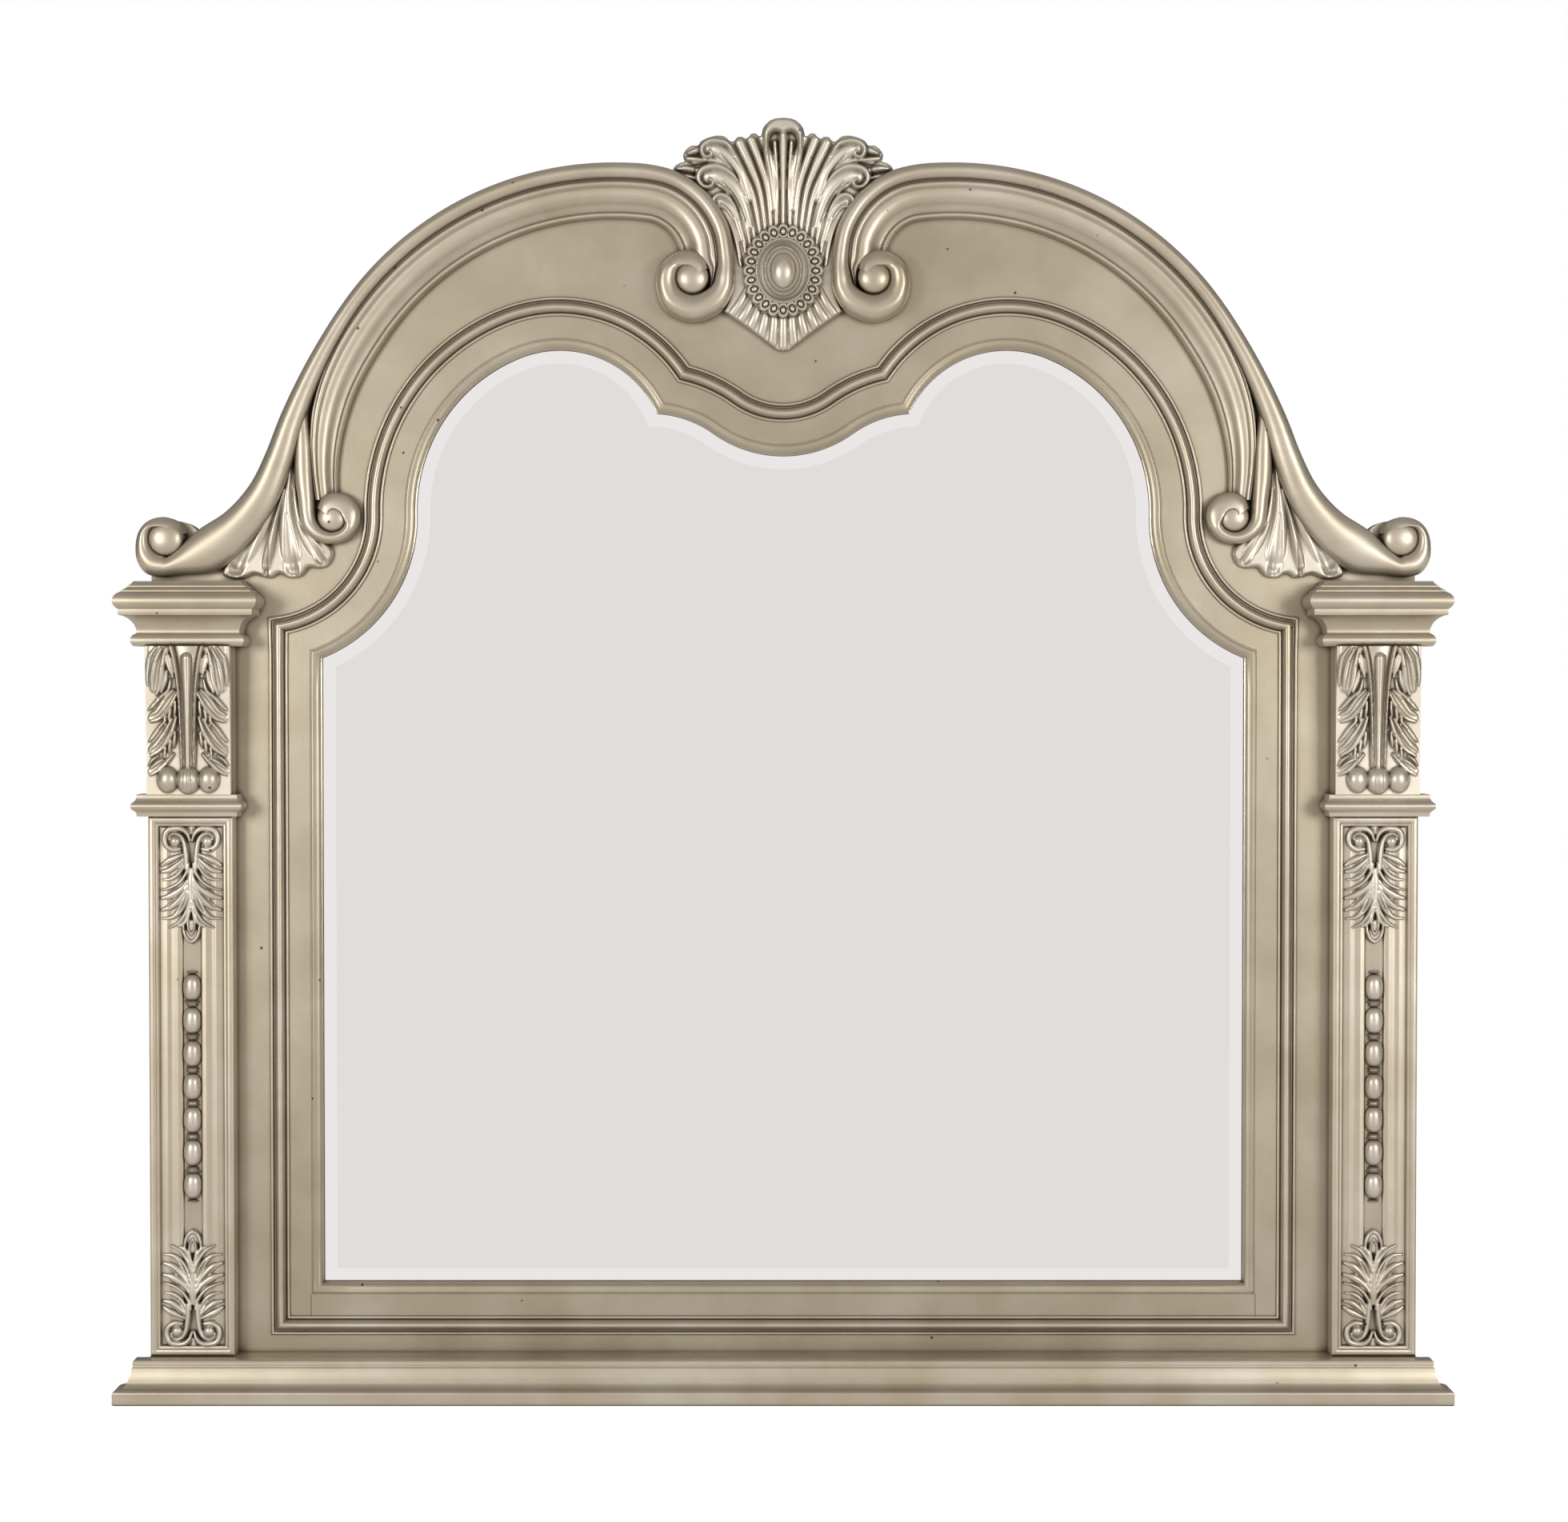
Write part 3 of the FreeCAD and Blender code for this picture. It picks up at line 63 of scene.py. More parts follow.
# height of the back of rolls and bosses, just inside the boards
SUNK = -0.5
# a distance that stands for nowhere near
FAR = 1e9
Array = np.ndarray
Material = bpy.types.Material
Socket = bpy.types.NodeSocket
Tree = bpy.types.NodeTree
Point = tuple[float, float]
Station = tuple[float, float, float, float]
Solid = tuple[Array, list]


def linear(code: str) -> tuple[float, float, float, float]:
    """Turn an sRGB hex colour into linear values.

    Args:
        code: The colour, such as "#C2BAA4".

    Returns:
        Linear red, green, blue and an alpha of one.
    """
    channels = [int(code[i:i + 2], 16) / 255 for i in (1, 3, 5)]
    flat = [c / 12.92 if c <= 0.04045 else ((c + 0.055) / 1.055) ** 2.4 for c in channels]
    return (flat[0], flat[1], flat[2], 1.0)


def mm_box(node: str) -> tuple[Array, Array]:
    """Give the lowest and highest corner of a CAD node in millimetres.

    Args:
        node: Name of the node.

    Returns:
        The two corners as (x, y, z) arrays.
    """
    low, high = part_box(node)
    return np.array(low) / MM, np.array(high) / MM


@dataclass(frozen=True)
class Levels:
    """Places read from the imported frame, in millimetres."""

    field_y: float
    capital_bottom: float
    capital_top: float
    corbel_bottom: float
    pilaster_bottom: float
    pilaster_top: float
    pilaster_x: float
    pilaster_half: float
    pilaster_h: float
    plinth_h: float
    outer_x: float
    board_back: float

    @classmethod
    def read(cls) -> "Levels":
        """Read every level from the boxes of the nodes.

        Returns:
            The levels.
        """
        board = mm_box("crown_board")
        field_y = board[0][1]
        pilaster = mm_box("pilaster_right")
        core = mm_box("capital_core_right")
        plinth = mm_box("plinth_core")
        return cls(
            field_y=field_y,
            capital_bottom=core[0][2],
            capital_top=core[1][2],
            corbel_bottom=mm_box("corbel_right")[0][2],
            pilaster_bottom=pilaster[0][2],
            pilaster_top=pilaster[1][2],
            pilaster_x=(pilaster[0][0] + pilaster[1][0]) / 2,
            pilaster_half=(pilaster[1][0] - pilaster[0][0]) / 2,
            pilaster_h=field_y - pilaster[0][1],
            plinth_h=field_y - plinth[0][1],
            outer_x=plinth[1][0],
            board_back=board[1][1] - field_y,
        )


@dataclass(frozen=True)
class Run:
    """One tangent piece of a front-view line: straight, or bent to the left or right."""

    x: float
    z: float
    heading: float
    length: float
    bend: float

    def at(self, along: Array, out: Array) -> Array:
        """Place points beside the run.

        Args:
            along: Arc lengths from the start of the run.
            out: Distances to the left of the run.

        Returns:
            Points (..., 2) in the front view.
        """
        along, out = np.broadcast_arrays(np.asarray(along, float), np.asarray(out, float))
        turn = self.heading + along * self.bend
        left = np.stack([-np.sin(turn), np.cos(turn)], -1)
        if abs(self.bend) < 1e-9:
            ahead = np.array([math.cos(self.heading), math.sin(self.heading)])
            return np.array([self.x, self.z]) + along[..., None] * ahead + out[..., None] * left
        start = np.array([-math.sin(self.heading), math.cos(self.heading)])
        centre = np.array([self.x, self.z]) + start / self.bend
        return centre + left * (out - 1 / self.bend)[..., None]

    def slope(self, along: Array, out: Array) -> Array:
        """Give how fast a point moves along the run at a distance beside it.

        Args:
            along: Arc lengths from the start of the run.
            out: Distances to the left of the run.

        Returns:
            Vectors (..., 2) per unit of arc length.
        """
        turn = self.heading + along * self.bend
        return np.stack([np.cos(turn), np.sin(turn)], -1) * (1 - out * self.bend)[..., None]


class Line:
    """A front-view line of tangent arcs and straight runs, with mitred corners between some."""

    def __init__(self, x: float, z: float, heading: float, steps: list[tuple]) -> None:
        """Lay the runs one after another.

        Args:
            x: Start of the line.
            z: Start of the line.
            heading: First direction in degrees, 0 to the right.
            steps: ("arc", radius, turn), ("line", length) or ("corner", turn) entries.
        """
        self.runs: list[Run] = []
        self.corners: dict[int, Point] = {}
        angle = math.radians(heading)
        for step in steps:
            if step[0] == "corner":
                angle += math.radians(step[1])
                self.corners[len(self.runs)] = (x, z)
                continue
            if step[0] == "line":
                run = Run(x, z, angle, step[1], 0.0)
            else:
                turn = math.radians(step[2])
                run = Run(x, z, angle, abs(turn) * step[1], math.copysign(1 / step[1], turn))
            self.runs.append(run)
            x, z = run.at(np.array(run.length), np.array(0.0))
            angle += run.bend * run.length
        self.end: Point = (float(x), float(z))
        self.heading = angle

    def mitre(self, index: int, reach: float) -> tuple[Array, Array]:
        """Find the mitre line between a run and the one before it.

        Args:
            index: The run that starts at the corner.
            reach: Distance to the left at which both offset lines have to meet.

        Returns:
            The corner and the unit normal of the mitre line.
        """
        before, after = self.runs[index - 1], self.runs[index]
        s = np.array([before.length, 0.0])
        out = np.array([reach, reach])
        for _ in range(ROUNDS):
            gap = before.at(s[0], out[0]) - after.at(s[1], out[1])
            jac = np.stack([before.slope(s[0], out[0]), -after.slope(s[1], out[1])], -1)
            s = s - np.linalg.solve(jac, gap)
        corner = np.array(self.corners[index], float)
        way = before.at(s[0], out[0]) - corner
        way = way / np.linalg.norm(way)
        return corner, np.array([-way[1], way[0]])

    def rows(self, out: Array, pitch: float, reach: float = 0.0) -> Array:
        """Place rows of points across the line, trimmed on the mitre lines.

        Args:
            out: Distances to the left of the line.
            pitch: Longest step between two rows on a bent run.
            reach: Distance at which the two sides of a mitre meet best.

        Returns:
            Points (rows, len(out), 2).
        """
        out = np.asarray(out, float)
        found: list[Array] = []
        for index, run in enumerate(self.runs):
            low = np.zeros(len(out))
            high = np.full(len(out), run.length)
            if index in self.corners and index > 0:
                low = self._trim(run, low, out, *self.mitre(index, reach))
            if index + 1 in self.corners and index + 1 < len(self.runs):
                high = self._trim(run, high, out, *self.mitre(index + 1, reach))
            step = pitch if run.bend else pitch * STRAIGHT_STRETCH
            count = max(2, int(math.ceil(run.length / step)) + 1)
            share = np.linspace(0.0, 1.0, count)[:, None]
            rows = run.at(low + share * (high - low), out[None, :])
            if found:
                found[-1][-1] = (found[-1][-1] + rows[0]) / 2
                rows = rows[1:]
            found.append(rows)
        return np.concatenate(found)

    @staticmethod
    def _trim(run: Run, s: Array, out: Array, corner: Array, normal: Array) -> Array:
        """Move arc lengths along a run until the points lie on the mitre line.

        Args:
            run: The run.
            s: Arc lengths to start from.
            out: Distances to the left of the run.
            corner: A point of the mitre line.
            normal: Unit normal of the mitre line.

        Returns:
            The arc lengths.
        """
        s = s.copy()
        for _ in range(ROUNDS):
            miss = (run.at(s, out) - corner) @ normal
            s = s - miss / (run.slope(s, out) @ normal)
        return s


def section(points: list[tuple[float, ...]], steps: int = 8) -> Array:
    """Turn a moulding section of lines and three-point arcs into a closed loop of points.

    Args:
        points: (t, h) for a straight edge, or (mid t, mid h, t, h) for an arc.
        steps: Edges in each arc.

    Returns:
        Points (n, 2).
    """
    found = [np.array(points[0], float)]
    for item in points[1:]:
        if len(item) == 2:
            found.append(np.array(item, float))
            continue
        a, b, c = found[-1], np.array(item[:2]), np.array(item[2:])
        ab, ac = b - a, c - a
        cross = 2 * (ab[0] * ac[1] - ab[1] * ac[0])
        centre = a + np.array([ac[1] * (ab @ ab) - ab[1] * (ac @ ac),
                               ab[0] * (ac @ ac) - ac[0] * (ab @ ab)]) / cross
        first, last = (math.atan2(*(p - centre)[::-1]) for p in (a, c))
        middle = math.atan2(*(b - centre)[::-1])
        turn = (last - first) % math.tau
        if (middle - first) % math.tau > turn:
            turn -= math.tau
        radius = np.linalg.norm(a - centre)
        for share in range(1, steps + 1):
            angle = first + turn * share / steps
            found.append(centre + radius * np.array([math.cos(angle), math.sin(angle)]))
    return np.array(found)


def smooth_line(points: list[tuple[float, ...]], steps: int = 8, closed: bool = False) -> Array:
    """Run a Catmull-Rom line through given points of any width.

    Args:
        points: Points with two or more numbers each.
        steps: New points for each span.
        closed: True joins the last point to the first.

    Returns:
        Points (n, width).
    """
    p = np.array(points, float)
    if closed:
        p = np.vstack([p[-1:], p, p[:2]])
    else:
        p = np.vstack([2 * p[0] - p[1], p, 2 * p[-1] - p[-2]])
    found = []
    for i in range(1, len(p) - 2):
        t = np.linspace(0.0, 1.0, steps, endpoint=False)[:, None]
        a, b, c, d = p[i - 1], p[i], p[i + 1], p[i + 2]
        found.append(0.5 * (2 * b + (c - a) * t + (2 * a - 5 * b + 4 * c - d) * t ** 2
                            + (3 * b - a - 3 * c + d) * t ** 3))
    if not closed:
        found.append(p[-2][None, :])
    return np.concatenate(found)


def volume(verts: Array, faces: list) -> float:
    """Give the signed volume of a closed mesh.

    Args:
        verts: Points.
        faces: Index lists.

    Returns:
        The volume, negative where the faces point inwards.
    """
    total = 0.0
    for size in sorted({len(face) for face in faces}):
        same = verts[np.array([face for face in faces if len(face) == size])]
        total += float(np.einsum("ik,ijk->", same[:, 0], np.cross(same[:, 1:-1], same[:, 2:])))
    return total / 6


def outward(verts: Array, faces: list) -> list:
    """Give the faces of a closed mesh, all reversed where they pointed inwards."""
    return faces if volume(verts, faces) > 0 else [face[::-1] for face in faces]


class Workshop:
    """Makes the pieces: turns arrays into meshes, dresses them and tells the frame about them."""

    def __init__(self, levels: Levels) -> None:
        """Keep the levels and a count of what was made."""
        self.levels = levels
        self.made: list[str] = []

    def world(self, x: Array, z: Array, h: Array) -> Array:
        """Turn front-view places and heights into metres in the frame."""
        x, z, h = np.broadcast_arrays(x, z, h)
        return np.stack([x, self.levels.field_y - h, z], -1) * MM

    def piece(self, name: str, verts: Array, faces: list, material: Material, slot: str,
              nodes: tuple[str, ...], cavity: Array | None = None) -> bpy.types.Object:
        """Make one closed piece and place it in the frame.

        Args:
            name: Name of the piece.
            verts: Points (n, 3) in metres.
            faces: Index lists.
            material: Its finish.
            slot: Not used.
            nodes: CAD nodes that it stands for.
            cavity: How deep each point lies in the carving, 0 to 1.

        Returns:
            The new object.
        """
        mesh = bpy.data.meshes.new(name)
        mesh.from_pydata(verts.tolist(), [], faces)
        if volume(verts, faces) < 0:
            mesh.flip_normals()
        if cavity is not None:
            layer = mesh.attributes.new("cavity", "FLOAT", "POINT")
            layer.data.foreach_set("value", cavity.astype(np.float32))
        mesh.shade_smooth()
        mesh.set_sharp_from_angle(angle=SMOOTH_ANGLE)
        mesh.materials.append(material)
        obj = bpy.data.objects.new(name, mesh)
        bpy.context.scene.collection.objects.link(obj)
        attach(obj, "root")
        if nodes:
            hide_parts(*nodes)
        self.made.append(name)
        log.info("piece %s: %d faces", name, len(mesh.polygons))
        return obj

    @staticmethod
    def mirror(verts: Array) -> Array:
        """Give the left-hand copy of right-hand points."""
        return verts * np.array([-1.0, 1.0, 1.0])

    @staticmethod
    def tube(rows: int, across: int, ring: bool = False) -> list:
        """List the faces of a grid of closed sections, with flat ends where it isn't a ring.

        Args:
            rows: Number of sections.
            across: Points in each section.
            ring: True joins the last section to the first.

        Returns:
            Index lists.
        """
        faces = []
        for r in range(rows if ring else rows - 1):
            here, there = r * across, (r + 1) % rows * across
            faces += [[here + c, here + (c + 1) % across, there + (c + 1) % across, there + c]
                      for c in range(across)]
        if not ring:
            faces += [list(range(across))[::-1], list(range((rows - 1) * across, rows * across))]
        return faces

    def pair(self, name: str, verts: Array, faces: list, material: Material, slot: str,
             nodes: tuple[str, ...], cavity: Array | None = None) -> None:
        """Make a piece on the right and its mirror image on the left.

        Args:
            name: Name without its side.
            verts: Points of the right-hand piece in metres.
            faces: Index lists.
            material: Its finish.
            slot: Passed on to piece, where it is not used.
            nodes: CAD nodes that it stands for, without their sides.
            cavity: How deep each point lies in the carving, 0 to 1.
        """
        for side, points in (("right", verts), ("left", self.mirror(verts))):
            self.piece(f"{name}_{side}", points, faces, material, slot,
                       tuple(f"{node}_{side}" for node in nodes), cavity)


def add(tree: Tree, kind: str, inputs: dict | None = None, **settings: object) -> bpy.types.Node:
    """Add a node with its settings, values and links.

    Args:
        tree: The node tree.
        kind: Blender's name of the node type.
        inputs: Socket name or number to a value, or to the output socket that feeds it.
        settings: Attributes of the node.

    Returns:
        The new node.
    """
    node = tree.nodes.new(kind)
    for name, value in settings.items():
        setattr(node, name, value)
    for name, value in (inputs or {}).items():
        if isinstance(value, Socket):
            tree.links.new(value, node.inputs[name])
        else:
            node.inputs[name].default_value = value
    return node


def fresh(owner: object) -> Tree:
    """Turn on the nodes of a material or a world and start them empty.

    Args:
        owner: The material or the world.

    Returns:
        Its node tree.
    """
    owner.use_nodes = True
    owner.node_tree.nodes.clear()
    return owner.node_tree


def per(size_mm: float) -> float:
    """Give the scale of a pattern whose features have this size."""
    return 1 / (MM * size_mm)


class Finish:
    """Base of the finishes: starts a material and ends it with its shader."""

    name: str

    def start(self) -> tuple[Material, Tree, Socket]:
        """Start a material from nothing.

        Returns:
            The material, its tree and the place on the object.
        """
        material = bpy.data.materials.new(self.name)
        tree = fresh(material)
        return material, tree, add(tree, "ShaderNodeTexCoord").outputs["Object"]

    @staticmethod
    def layers(tree: Tree, base: object, coats: list[tuple]) -> object:
        """Lay colours over one another.

        Args:
            tree: The node tree.
            base: Colour or socket of the ground.
            coats: Share and hex colour of each coat, in order.

        Returns:
            The socket of the result.
        """
        for share, code in coats:
            base = add(tree, "ShaderNodeMix", {0: share, 6: base, 7: linear(code)}, data_type="RGBA").outputs[2]
        return base

    @staticmethod
    def end(material: Material, inputs: dict[str, object]) -> Material:
        """Give the material its surface shader.

        Args:
            material: The material.
            inputs: Inputs of the shader.

        Returns:
            The material.
        """
        shader = add(material.node_tree, "ShaderNodeBsdfPrincipled", inputs)
        add(material.node_tree, "ShaderNodeOutputMaterial", {"Surface": shader.outputs[0]})
        return material


@dataclass(frozen=True)
class GlazedPaint(Finish):
    """Champagne metallic paint under an umber glaze that was wiped off the high places; the umber that occlusion and
    depth lay into corners and hollows is partly real glaze, partly painted shade.
    """

    name: str
    paint: str = "#C1B8A7"
    shade: str = "#AB9F88"
    # umber of the glaze and the specks, also used as painted shade in corners and hollows
    umber_and_shade: str = "#4A3C2D"
    metallic: float = 0.72
    roughness: float = 0.39
    dull: float = 0.68
    # how far the glaze and the painted shade reach out of a corner, and how strong they stay in the carving
    corner_mm: float = 7.0
    corner_glaze_and_shade_share: float = 0.92
    cavity_share: float = 0.9
    # spans of the patterns over which each effect grows from none to all
    cloud_span: Point = (0.3, 0.72)
    streak_span: Point = (0.45, 0.75)
    corner_span: Point = (0.82, 0.3)
    cavity_span: Point = (0.12, 0.8)
    speck_span: Point = (0.052, 0.03)
    # soft clouds, brush streaks along the grain, specks and sanding marks
    cloud_mm: float = 85.0
    streak_mm: tuple[float, float, float] = (90.0, 90.0, 90.0)
    speck_mm: float = 34.0
    # real sanding marks are half a millimetre apart; these are as coarse as they need to be to show
    grit_mm: float = 2.2
    grit_share: float = 0.16
    brush_share: float = 0.4
    coat: Point = (0.12, 0.3)

    def make(self) -> Material:
        """Build the material.

        Returns:
            The material.
        """
        material, tree, place = self.start()
        # soft clouds where the glaze was wiped unevenly
        cloud = add(tree, "ShaderNodeTexNoise", {"Vector": place, "Scale": per(self.cloud_mm), "Detail": 3.0,
                                                 "Roughness": 0.55}).outputs["Fac"]
        scaled = add(tree, "ShaderNodeMapping", {"Vector": place, "Scale": tuple(map(per, self.streak_mm))})
        streak = add(tree, "ShaderNodeTexNoise", {"Vector": scaled.outputs[0], "Scale": 1.0, "Detail": 4.0,
                                                  "Roughness": 0.6}).outputs["Fac"]
        worn = add(tree, "ShaderNodeMapRange", {0: cloud, 1: self.cloud_span[0], 2: self.cloud_span[1]}).outputs[0]
        brushed = add(tree, "ShaderNodeMapRange", {0: streak, 1: self.streak_span[0], 2: self.streak_span[1],
                                                   4: self.brush_share}).outputs[0]
        # occlusion in corners and depth in the carving lay the umber: partly real glaze, partly painted shade
        corner = add(tree, "ShaderNodeAmbientOcclusion", {"Distance": self.corner_mm * MM}, samples=8).outputs["AO"]
        corner_glaze_and_shade = add(tree, "ShaderNodeMapRange", {0: corner, 1: self.corner_span[0], 2: self.corner_span[1],
                                               4: self.corner_glaze_and_shade_share}).outputs[0]
        cavity = add(tree, "ShaderNodeAttribute", attribute_name="cavity").outputs["Fac"]
        deep = add(tree, "ShaderNodeMapRange", {0: cavity, 1: self.cavity_span[0], 2: self.cavity_span[1],
                                                4: self.cavity_share}).outputs[0]
        # mask of the umber: partly real glaze, partly painted shade in corners and hollows
        glaze_and_shade = add(tree, "ShaderNodeMath", {0: corner_glaze_and_shade, 1: deep}, operation="MAXIMUM").outputs[0]
        # a few tiny dark specks of the distressed finish
        speck = add(tree, "ShaderNodeTexVoronoi", {"Vector": place, "Scale": per(self.speck_mm), "Randomness": 1.0})
        dot = add(tree, "ShaderNodeMapRange", {0: speck.outputs["Distance"], 1: self.speck_span[0],
                                               2: self.speck_span[1]}).outputs[0]
        base = self.layers(tree, linear(self.paint), [(worn, self.shade), (brushed, self.shade),
                                                      (glaze_and_shade, self.umber_and_shade), (dot, self.umber_and_shade)])
        dull = add(tree, "ShaderNodeMapRange", {0: glaze_and_shade, 3: self.roughness, 4: self.dull}).outputs[0]
        grit = add(tree, "ShaderNodeTexNoise", {"Vector": place, "Scale": per(self.grit_mm), "Detail": 2.0})
        bump = add(tree, "ShaderNodeBump", {"Height": grit.outputs["Fac"], "Strength": self.grit_share,
                                             "Distance": 0.3 * MM})
        return self.end(material, {
            "Base Color": base, "Metallic": self.metallic, "Roughness": dull, "Normal": bump.outputs[0],
            "Coat Weight": self.coat[0], "Coat Roughness": self.coat[1]})


@dataclass(frozen=True)
class SilveredGlass(Finish):
    """Clear float glass with a silver layer behind it: a neutral, nearly perfect mirror."""

    name: str = "silvered_glass"
    tint: str = "#F6F5F5"

    def make(self) -> Material:
        """Build the material.

        Returns:
            The material.
        """
        material, tree, place = self.start()
        # faint haze of dust and cleaning marks
        haze = add(tree, "ShaderNodeTexNoise", {"Vector": place, "Scale": 7.0, "Detail": 3.0}).outputs["Fac"]
        dull = add(tree, "ShaderNodeMapRange", {0: haze, 1: 0.35, 2: 0.75, 3: 0.012, 4: 0.03}).outputs[0]
        return self.end(material, {"Base Color": linear(self.tint), "Metallic": 1.0, "Roughness": dull})


@dataclass(frozen=True)
class Board(Finish):
    """Plain board: fibreboard or raw poplar, with its grain or its flecks."""

    name: str
    light: str
    dark: str
    grain_mm: tuple[float, float, float]
    roughness: float = 0.8

    def make(self) -> Material:
        """Build the material.

        Returns:
            The material.
        """
        material, tree, place = self.start()
        scaled = add(tree, "ShaderNodeMapping", {"Vector": place, "Scale": tuple(map(per, self.grain_mm))})
        grain = add(tree, "ShaderNodeTexNoise", {"Vector": scaled.outputs[0], "Scale": 1.0, "Detail": 5.0,
                                                 "Roughness": 0.65}).outputs["Fac"]
        fleck = add(tree, "ShaderNodeMapRange", {0: grain, 1: 0.3, 2: 0.7}).outputs[0]
        bump = add(tree, "ShaderNodeBump", {"Height": grain, "Strength": 0.2, "Distance": 0.4 * MM})
        return self.end(material, {"Base Color": self.layers(tree, linear(self.light), [(fleck, self.dark)]),
                                   "Roughness": self.roughness, "Normal": bump.outputs[0]})


@dataclass(frozen=True)
class Plating(Finish):
    """Plated steel or turned brass, slightly clouded by handling."""

    name: str
    colour: str
    roughness: float = 0.3
    cloud_mm: float = 4.0

    def make(self) -> Material:
        """Build the material.

        Returns:
            The material.
        """
        material, tree, place = self.start()
        cloud = add(tree, "ShaderNodeTexNoise", {"Vector": place, "Scale": per(self.cloud_mm), "Detail": 3.0})
        dull = add(tree, "ShaderNodeMapRange", {0: cloud.outputs["Fac"], 1: 0.3, 2: 0.7, 3: self.roughness,
                                                4: self.roughness + 0.2}).outputs[0]
        return self.end(material, {"Base Color": linear(self.colour), "Metallic": 1.0, "Roughness": dull})


class Finishes:
    """Every finish of the mirror, made once."""

    def __init__(self) -> None:
        """Make the materials."""
        # the boards and the frame's flat band take a darker copy of the champagne paint: painted shade
        self.flat = GlazedPaint("champagne_board_shaded", "#AFA692", "#9C917B", streak_mm=(60.0, 60.0, 60.0)).make()
        self.along = GlazedPaint("champagne_moulding", streak_mm=(240.0, 8.0, 8.0)).make()
        self.upright = GlazedPaint("champagne_pilaster", streak_mm=(8.0, 8.0, 240.0)).make()
        self.carved = GlazedPaint("champagne_carving", "#CAC3B5", "#B3A995", corner_mm=5.0,
                                  streak_mm=(30.0, 30.0, 30.0)).make()
        self.glass = SilveredGlass().make()
        # the bevel takes a brighter copy of the silvered glass: painted brighter reflection
        self.bevel = SilveredGlass("silvered_bevel_brightened", "#FFFFFF").make()
        self.fibreboard = Board("backing_fibreboard", "#8A6B4A", "#6E5238", (3.0, 3.0, 3.0)).make()
        self.poplar = Board("raw_poplar", "#CDB58E", "#A98C62", (3.0, 3.0, 120.0)).make()
        self.steel = Plating("zinc_steel", "#B9BBBD").make()
        self.brass = Plating("turned_brass", "#C9A55C").make()


@dataclass
class Part:
    """A sub-assembly: it knows the workshop that makes it and the finishes that dress it."""

    shop: Workshop
    looks: Finishes


@dataclass(frozen=True)
class SightLine:
    """The shaped line of the opening: lobes at the head, straight sides and a straight bottom."""

    key_radius: float = 113.7
    lobe_radius: float = 101.7
    side_radius: float = 156.8
    shoulder_radius: float = 143.6
    turns: tuple[float, ...] = (35.6, -32.0, 62.2, -87.9, -69.0, 69.3)

    def steps(self) -> list[tuple]:
        """List the runs of the head, from its middle to the shoulder.

        Returns:
            Entries for a Line.
        """
        key, ear, corner, lobe, side, shoulder = self.turns
        return [("arc", self.key_radius, key), ("arc", self.lobe_radius, ear), ("corner", corner),
                ("arc", self.lobe_radius, lobe), ("arc", self.side_radius, side),
                ("arc", self.shoulder_radius, shoulder)]

    def line(self) -> Line:
        """Lay the right half of the opening, from the head down to the middle of the bottom.

        Returns:
            The line.
        """
        trial = Line(0.0, 0.0, 0.0, self.steps())
        half, drop = trial.end
        key_z = SHOULDER_Z - drop
        tail = [("corner", -90.0 - math.degrees(trial.heading)), ("line", SHOULDER_Z - SIGHT_BOTTOM),
                ("corner", -90.0), ("line", half)]
        return Line(0.0, key_z, 0.0, self.steps() + tail)

    def ring(self, shop: Workshop, shape: Array, pitch: float, reach: float) -> tuple[Array, int]:
        """Carry a section all the way round the opening.

        Args:
            shop: The workshop.
            shape: Section points (t, h), t away from the glass.
            pitch: Longest step on a bent run.
            reach: Distance at which the mitres meet best.

        Returns:
            Points (rows, n, 3) in metres, and the number of rows.
        """
        rows = self.line().rows(shape[:, 0], pitch, reach)
        verts = shop.world(rows[..., 0], rows[..., 1], shape[None, :, 1])
        verts[[0, -1], :, 0] = 0.0
        whole = np.concatenate([verts, shop.mirror(verts[-2:0:-1])])
        return whole, whole.shape[0]


@dataclass
class MirrorPlate(Part):
    """Bevelled plate: a flat middle inside a ground slope that follows the shaped edge."""

    sight: SightLine = SightLine()
    front: float = -10.0
    thickness: float = 5.0
    edge: float = 9.0
    bevel: float = 22.0
    drop: float = 1.6
    pitch: float = 4.0
    # the ground edge of the bevel stays crisp
    sharp: float = math.radians(2.0)

    def build(self) -> None:
        """Make the plate."""
        shop, looks = self.shop, self.looks
        inner = self.edge - self.bevel
        shape = np.array([(inner, self.front), (self.edge, self.front - self.drop),
                          (self.edge, self.front - self.thickness), (inner, self.front - self.thickness)])
        verts, rows = self.sight.ring(shop, shape, self.pitch, inner)
        # three sides of the section run round the plate, and two flat faces close it
        faces = [face for k, face in enumerate(shop.tube(rows, 4, ring=True)) if k % 4 < 3]
        faces += [[r * 4 for r in reversed(range(rows))], [r * 4 + 3 for r in range(rows)]]
        obj = shop.piece("mirror_plate", verts.reshape(-1, 3), faces, looks.glass, "silvered_glass",
                         ("mirror_glass",))
        # the bevel slope takes the brighter copy of the glass, a painted reflection
        obj.data.materials.append(looks.bevel)
        for index in range(0, 3 * rows, 3):
            obj.data.polygons[index].material_index = 1
        obj.data.set_sharp_from_angle(angle=self.sharp)


